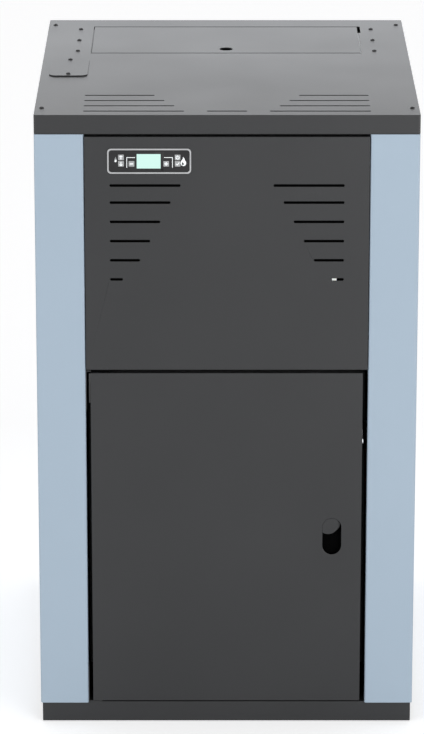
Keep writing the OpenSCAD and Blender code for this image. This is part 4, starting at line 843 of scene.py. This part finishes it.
def build_sensor_plugs(bm):
    """Screwed plugs of the sensor pockets over the fire door."""
    for x in (-120, 120):
        where = along((x, BODY_FRONT, 573), (0, -1, 0), 0.2)
        add_hex_bolt(bm, where, 17.0, 7.0)
        add_lathe(bm, [(5, 8), (5, 12), (4.2, 12.6), (0, 12.6)], where, 18)


def build_ash_pan_hem(bm):
    """Rolled hem on the ash pan's rim, and pressed beads in its front."""
    x, y0, y1, z = 149, -296.2, -91.4, 198
    rear = [(x, y1 - 4, z), (x - 4, y1, z), (-x + 4, y1, z), (-x, y1 - 4, z)]
    front = [(-x, y0 + 4, z), (-x + 4, y0, z), (x - 4, y0, z), (x, y0 + 4, z)]
    add_sweep(bm, rear + front, circle(1.7, 8), closed=True)
    swage = [(-3, -0.4), (3, -0.4), (2, 0.6), (-2, 0.6)]
    for z in (118, 184):
        add_sweep(bm, [(-110, y0 - 0.3, z), (110, y0 - 0.3, z)], swage)
    rivet = [(3.4, 0), (3.2, 0.8), (2, 1.6), (0, 1.8)]
    for x in (-57, 57):
        for z in (146, 162):
            add_lathe(bm, rivet, along((x, y0 - 0.5, z), (0, -1, 0)), 16)


def build_ash_pan_grip(bm):
    """Ribbed sleeve on the ash pan's handle."""
    where = along((-34, -314.7, 154), (1, 0, 0))
    profile = [(5.05, 0), (6.2, 0.4), (6.5, 2)]
    for k in range(8):
        profile += [(6.5, 5 + k * 8), (6.0, 6 + k * 8), (6.5, 7 + k * 8)]
    profile += [(6.2, 67.4), (5.05, 68), (5.05, 0)]
    add_lathe(bm, profile, where, 24)


def build_foil(bm):
    """Foil face on the insulation, folded over its rear edge and slightly creased."""
    for side in (-1, 1):
        outline = [(220.3, -282), (220.4, -200), (220.3, -110), (220.4, -24.4), (219.6, -23.7), (201, -23.7)]
        rows = [83.3 + k * 14.5 for k in range(53)]
        grid = []
        for r, z in enumerate(rows):
            row = []
            for k, (x, y) in enumerate(outline):
                crease = 0.35 * math.sin(r * 2.3 + k * 1.7) + 0.25 * math.sin(r * 5.1 + k)
                row.append(bm.verts.new((side * (x + abs(crease)), y, z)))
            grid.append(row)
        for low, high in zip(grid, grid[1:]):
            for k in range(len(outline) - 1):
                bm.faces.new((low[k], low[k + 1], high[k + 1], high[k]))


def build_edge_tape(bm):
    """Black tape folded over the insulation's front edge."""
    for side in (-1, 1):
        x0, x1 = sorted((side * 200.6, side * 220.7))
        add_box(bm, x0, x1, -291.6, -290.9, 83.2, 843.8, 0.2)
        x0, x1 = sorted((side * 220.1, side * 220.8))
        add_box(bm, x0, x1, -291.6, -278, 83.2, 843.8, 0.2)


def build_straps(bm):
    """Steel bands with buckles round the insulation."""
    for z in (225, 463, 700):
        for side in (-1, 1):
            add_box(bm, side * 221.2 - 0.4, side * 221.2 + 0.4, -262, -25, z - 6, z + 6, 0.2)
            add_box(bm, side * 222 - 1.2, side * 222 + 1.2, -75, -55, z - 8, z + 8, 0.6)


def build_vent_shade_mat(bm):
    """Near-black mats behind the front slots, clear of the terminal block: painted shade that keeps the
    slots dark.
    """
    add_box(bm, -196, -56, -341.5, -337.5, 735, 908, 1.0)
    add_box(bm, 56, 196, -341.5, -337.5, 758, 908, 1.0)
    add_box(bm, 173, 196, -341.5, -337.5, 735, 757, 1.0)


def build_cover_slot_shade(bm):
    """Near-black sheets under the cover's slots, painted shade that keeps the slots dark."""
    for x0, x1 in ((-230, -60), (-38, 38), (60, 230)):
        add_box(bm, x0, x1, -328, -198, 1007.4, 1008.3, 0.2)


def build_finger_shade_cup(bm):
    """Moulded cup behind the door's finger hole, open at the top left for the lock; it is near black as
    painted shade, so the hole reads dark.
    """
    y0, y1, wall = -341.9, -331.0, 1.2
    outline = [(150, 283), (186, 283), (186, 352), (180.5, 352), (180.5, 325), (150, 325)]
    add_prism(bm, outline, on_window(0, 0, y1), wall)
    add_box(bm, 150, 151.2, y0, y1 - wall, 283, 325, 0)
    add_box(bm, 184.8, 186, y0, y1 - wall, 283, 352, 0)
    add_box(bm, 150, 186, y0, y1 - wall, 283, 284.2, 0)
    add_box(bm, 150, 180.5, y0 + 4.5, y1 - wall, 323.8, 325, 0)


def build_lock_plate(bm):
    """Round painted plate behind the lock's disc, and a flush one over it in the finger hole."""
    where = along((163, -338.45, 340.6), (0, -1, 0))
    add_lathe(bm, [(9, 0), (18.6, 0), (18.6, 0.2), (9, 0.2), (9, 0)], where, 64)
    disc_x, disc_z, disc_r = 162, 338.7, 16.6
    hole_x, hole_z, hole_r = 168, 333.4, 14.96
    disc = around(disc_r, [-122.2 + k * 8 for k in range(19)])
    hole = around(hole_r, [50.7 + k * 10.77 for k in range(1, 12)])
    outline = [(hole_x - hole_r, hole_z)]
    outline += [(disc_x + x, disc_z + z) for x, z in disc]
    outline += [(hole_x + x, hole_z + z) for x, z in hole]
    add_prism(bm, outline, on_window(0, 0, -341.8), 1.65)


def build_lid_trim(bm):
    """Painted strip that closes the gap on the left of the lid."""
    add_box(bm, -223.1, -222.3, 92, 272, 1004, 1009.4, 0.2)


def build_lid_highlight_strip(bm):
    """Pale strip in the gap on the right of the lid, a painted highlight that stands in for the lid's edge
    catching light.
    """
    add_box(bm, 222.15, 223.05, 92, 243, 1003, 1009.6, 0.2)


def dress_behind_door():
    """Makes the pieces of the door, what lies behind it, and the thin strips in the gaps; several are near
    black as painted shade, and one is pale as a painted highlight.
    """
    piece("door_ribs", build_door_ribs, "graphite_coat", "front_door")
    piece("door_tape", build_door_tape, "rubber", "front_door")
    piece("strike_nib", build_strike_nib, "zinc_plated", "front_door")
    # Rubber trim that also serves as painted shade round the strike plate.
    piece("strike_shade_trim", build_strike_shade_trim, "rubber", "front_door")
    # Painted shade in the door's right gap.
    piece("catch_shade_pad", build_catch_shade_pad, "painted_shade_black")
    piece("hinge_cover", build_hinge_cover, "graphite_coat", "front_door")
    # Painted shade in the gap above the door.
    piece("hinge_shade_strip", build_hinge_shade_strip, "painted_shade_black")
    piece("rear_seal", build_rear_seal, "rubber")
    piece("fire_seal", build_fire_seal, "rope", "fire_door")
    piece("fire_bolts", build_fire_bolts, "zinc_plated", "fire_door")
    piece("handle_grip", build_handle_grip, "black_plastic", "fire_door_handle")
    piece("body_welds", build_body_welds, "weld")
    piece("sensor_plugs", build_sensor_plugs, "brass_fittings")
    piece("ash_pan_hem", build_ash_pan_hem, "galvanised", "ash_pan")
    piece("ash_pan_grip", build_ash_pan_grip, "black_plastic", "ash_pan")
    piece("insulation_foil", build_foil, "foil")
    piece("edge_tape", build_edge_tape, "rubber")
    piece("insulation_straps", build_straps, "galvanised")
    # Painted shade behind the front slots.
    piece("vent_shade_mat", build_vent_shade_mat, "painted_shade_black")
    # Painted shade under the cover's slots.
    piece("cover_slot_shade", build_cover_slot_shade, "painted_shade_black")
    # Painted shade inside the finger hole.
    piece("finger_shade_cup", build_finger_shade_cup, "painted_shade_black", "front_door")
    piece("lock_plate", build_lock_plate, "graphite_coat", "front_door")
    piece("lid_trim", build_lid_trim, "graphite_coat")
    # Painted highlight in the lid's right gap.
    piece("lid_highlight_strip", build_lid_highlight_strip, "print")


dress_behind_door()


# Feed, smoke path, water side and electrics

AUGER = Matrix.Translation((0, 190, 445)) @ Matrix.Rotation(math.radians(45), 4, "X")
FLIP = Matrix.Rotation(math.pi, 4, "X")


def build_hopper_guard(bm):
    """Wire grid over the funnel that keeps hands away from the auger."""
    z = 703
    for x in range(-225, 226, 45):
        add_sweep(bm, [(x, 53, z), (x, 322, z)], circle(2.2, 8))
    for y in range(75, 316, 48):
        add_sweep(bm, [(-247, y, z + 3.8), (247, y, z + 3.8)], circle(2.2, 8))


def build_hopper_rivets(bm):
    """Blind rivets along the hopper's seams."""
    rivet = [(3, 0), (2.7, 0.7), (1.5, 1.1), (0, 1.1)]
    for z in range(720, 941, 44):
        for x in (-230, 230):
            for y, way in ((51.5, 1), (324, -1)):
                add_lathe(bm, rivet, along((x, y, z), (0, way, 0)), 12)


def add_gland(bm, where, nut_foot, nut_top):
    """Cable gland: a hexagon nut with a rounded cap."""
    add_lathe(bm, [(6, nut_foot), (6, nut_top)], where, 6)
    add_lathe(bm, [(5, nut_top), (5, nut_top + 5), (3.4, nut_top + 7.5), (0, nut_top + 7.5)], where, 18)


def build_gearmotor_fittings(bm):
    """Screws of the gear motor's cover, bolts of its flange and a cable gland."""
    for x in (-28, 28):
        for y in (-26, 24):
            add_screw(bm, AUGER @ Matrix.Translation((x, y, -141)) @ FLIP, 3.2, 1.8)
    for x, y in around(36, (60, 120, 240, 300)):
        add_hex_bolt(bm, AUGER @ Matrix.Translation((x, y, -90)), 7.0, 3.0)
    add_gland(bm, AUGER @ along((27, -8, -158), (1, 0, 0)), -2, 3)


def build_fan_fittings(bm):
    """Cover screws of the fan, and its motor's terminal box with a cable gland."""
    for y, z in around(54, range(20, 380, 60)):
        add_hex_bolt(bm, along((-26.5, FAN_Y + y, FAN_Z + z), (1, 0, 0)), 7.0, 3.0)
    add_box(bm, -6, 26, FAN_Y - 15, FAN_Y + 15, FAN_Z + 33, FAN_Z + 52, 1.5)
    for x in (-2, 22):
        for y in (-11, 11):
            add_screw(bm, along((x, FAN_Y + y, FAN_Z + 52), (0, 0, 1)), 2.0, 1.0)
    add_gland(bm, along((26, FAN_Y, FAN_Z + 43), (1, 0, 0)), 0, 4)


def build_cover_nuts(bm):
    """Wing nuts on the exchanger cover's studs."""
    for x in (-150, 150):
        for y in (-274, -39):
            where = along((x, y, 919), (0, 0, 1), 0.5 * x + y)
            add_lathe(bm, [(6, 0), (5.5, 5), (4, 6), (3.1, 6)], where, 18)
            for side in (-1, 1):
                wing = where @ Matrix.Translation((side * 8.5, 0, 5)) @ Matrix.Rotation(-0.5 * side, 4, "Y")
                add_box(bm, -4.5, 4.5, -1.2, 1.2, -3, 6, 1.0, wing)


def build_pump_fittings(bm):
    """Body screws, terminal box screws and the speed knob of the pump."""
    for y, z in around(40.6, DIAGONALS):
        add_hex_bolt(bm, along((207, 252 + y, RETURN_Z + z), (1, 0, 0)), 5.0, 4.0)
    for x in (219, 253):
        for y in (226, 278):
            add_screw(bm, along((x, y, 170), (0, 0, 1)), 2.2, 1.0)
    knob = along((263, 252, 112), (1, 0, 0))
    add_lathe(bm, [(15, 0), (15, 2), (13.5, 6), (12.5, 7), (0, 7)], knob, 24)
    add_box(bm, 270, 271.2, 250.6, 253.4, 112, 124, 0.4)


def build_vessel_seam(bm):
    """Rolled clamping ring round the vessel's middle, and the cap of its valve."""
    x, y, z = 249, 185, 300
    ring = along((x, y, z), (1, 0, 0))
    bead = [(125.2, -4.5), (126.6, -3.5), (127.2, 0), (126.6, 3.5), (125.2, 4.5)]
    add_lathe(bm, bead + [(124.6, 4.5), (124.6, -4.5), bead[0]], ring, 96)
    add_lathe(bm, [(7, 0), (7, 2), (6, 6), (0, 6.5)], along((288, y, z), (1, 0, 0)), 20)


def build_gauge(bm):
    """White dial with a raised rim."""
    profile = [(21, -0.5), (21.4, 0.4), (20.6, 1.4), (19, 1.4), (18.6, 0.3), (0, 0.3)]
    add_lathe(bm, profile, along((GAUGE_X, 0, GAUGE_Z), (0, 1, 0)), 40)


def build_gauge_marks(bm):
    """Scale, pointer and hub of the dial."""
    where = Matrix.Translation((GAUGE_X, 0.35, GAUGE_Z)) @ Matrix.Rotation(-math.pi / 2, 4, "X")
    turns = [-45 + k * 22.5 for k in range(13)]
    for k, turn in enumerate(turns):
        inner = 13.5 if k % 3 == 0 else 15
        stroke(bm, where, *around(inner, [turn])[0], *around(17, [turn])[0])
    stroke(bm, where, -3, -2, 11, 7, 1.0)
    ring_arc(bm, where, 1.6, 0, 350, 1.4)


def build_board_parts(bm):
    """Chips and sleeves on the control board's back."""
    y = -334.2
    chips = [(-22, 13, 9, 1.8), (12, 11, 6, 3.6), (34, 6, 5, 3), (-42, 2, 6, 4.8), (30, -8, 4, 1.8)]
    for x, z, w, h in chips:
        cx, cz = CTRL_X + x, CTRL_Z + z
        add_box(bm, cx - w, cx + w, y - 0.1, y + 1.8, cz - h, cz + h, 0.3)
    for x, z in ((44, 10), (-34, -8), (40, -6)):
        where = along((CTRL_X + x, y, CTRL_Z + z), (0, 1, 0))
        add_lathe(bm, [(3.9, 0), (4, 0.8), (3.7, 1.3), (4, 1.8), (4, 9.4), (3.6, 10), (0, 9.8)], where, 18)


def build_terminal_screws(bm):
    """Clamp screws of the terminal block."""
    for k in range(4):
        add_screw(bm, along((143 + 8 * k, -329.5, 745.3), (0, -1, 0), 0.7 * k), 2.0, 1.2)


def build_pipe_threads(bm):
    """Thread on the two water stubs."""
    inner, root, crest = 12.6, 13.05, 13.7
    start, pitch, turns = 362, 1.9, 8
    end = start + turns * pitch
    profile = []
    for k in range(turns):
        y = start + k * pitch
        profile += [(root, y), (crest, y + pitch / 2)]
    profile += [(root, end), (inner, end), (inner, start), (root, start)]
    for z in (SUPPLY_Z, RETURN_Z):
        add_lathe(bm, profile, along((PIPE_X, 0, z), (0, 1, 0)), 36)


def dress_inside():
    """Makes the pieces of the feed, the smoke path, the water side and the electrics."""
    rows = [
        ("hopper_guard", build_hopper_guard, "zinc_plated"),
        ("hopper_rivets", build_hopper_rivets, "zinc_plated"),
        ("gearmotor_fittings", build_gearmotor_fittings, "zinc_plated"),
        ("fan_fittings", build_fan_fittings, "black_plastic"),
        ("cover_nuts", build_cover_nuts, "zinc_plated"),
        ("pump_fittings", build_pump_fittings, "black_plastic"),
        ("vessel_seam", build_vessel_seam, "galvanised"),
        ("gauge_dial", build_gauge, "white_plastic"),
        ("gauge_marks", build_gauge_marks, "dark_print"),
        ("board_parts", build_board_parts, "black_plastic"),
        ("terminal_screws", build_terminal_screws, "zinc_plated"),
        ("pipe_threads", build_pipe_threads, "brass_fittings"),
    ]
    for name, build, material in rows:
        piece(name, build, material)


dress_inside()


# Room: white world, pale floor, three soft lamps


def make_world():
    """White where the camera or a mirror looks, dimmer as a source of light."""
    world = bpy.data.worlds.new("studio")
    bpy.context.scene.world = world
    tree = empty_tree(world)
    path = put(tree, "ShaderNodeLightPath")
    seen = calc(tree, "MAXIMUM", path.outputs["Is Camera Ray"], path.outputs["Is Glossy Ray"])
    seen = calc(tree, "MAXIMUM", seen, path.outputs["Is Transmission Ray"])
    ambient = 0.55
    level = mix_value(tree, seen, ambient, 1.0)
    sky = put(tree, "ShaderNodeBackground", Color=(1, 1, 1, 1), Strength=level)
    put(tree, "ShaderNodeOutputWorld", Surface=sky.outputs[0])


def floor_finish():
    """Pale floor. Camera rays see it nearly white, with the object's shadow kept."""
    material = bpy.data.materials.new("floor")
    tree = empty_tree(material)
    grain = noise(tree, place(tree), 40.0, 2.0)
    tone = mix_colour(tree, grain, (0.86, 0.86, 0.87, 1), (0.88, 0.88, 0.89, 1))
    matt = put(tree, "ShaderNodeBsdfPrincipled", Base_Color=tone, Roughness=0.9)
    path = put(tree, "ShaderNodeLightPath")
    camera_lift = 0.46
    lift = calc(tree, "MULTIPLY", path.outputs["Is Camera Ray"], camera_lift)
    white = put(tree, "ShaderNodeEmission", Color=(1, 1, 1, 1), Strength=lift)
    blend = put(tree, "ShaderNodeAddShader")
    tree.links.new(matt.outputs[0], blend.inputs[0])
    tree.links.new(white.outputs[0], blend.inputs[1])
    put(tree, "ShaderNodeOutputMaterial", Surface=blend.outputs[0])
    return material


def make_floor():
    """Floor plane, half a millimetre under the plinth."""
    half_side = 30
    drop = 0.0005
    bm = bmesh.new()
    bmesh.ops.create_grid(bm, x_segments=4, y_segments=4, size=half_side)
    mesh = bpy.data.meshes.new("floor")
    bm.to_mesh(mesh)
    bm.free()
    mesh.materials.append(floor_finish())
    floor = add_object("floor", mesh)
    floor.location = (0, 0, -drop)


def add_lamp(name, location, target, size, watts, colour=(1, 1, 1)):
    """Soft rectangular lamp; places and size in metres."""
    data = bpy.data.lights.new(name, "AREA")
    data.color = colour
    data.shape = "RECTANGLE"
    data.size, data.size_y = size
    data.energy = watts
    lamp = add_object(name, data)
    lamp.location = location
    lamp.rotation_euler = (Vector(target) - Vector(location)).to_track_quat("-Z", "Y").to_euler()


def make_lamps():
    """Key on the right, fill on the left and a weak lamp over the cover."""
    add_lamp("key", (2.6, -4.0, 1.05), (0, 0, 0.3), (2.6, 1.8), 78.5)
    add_lamp("fill", (-3.4, -3.0, 1.1), (0, 0, 0.2), (2.4, 1.8), 44)
    add_lamp("overhead", (0, 0.95, 1.16), (0, 0.3, 1.0), (2.0, 0.5), 3.6, (0.9, 0.94, 1.0))


make_world()
make_floor()
make_lamps()
bpy.context.scene.view_settings.view_transform = "Standard"
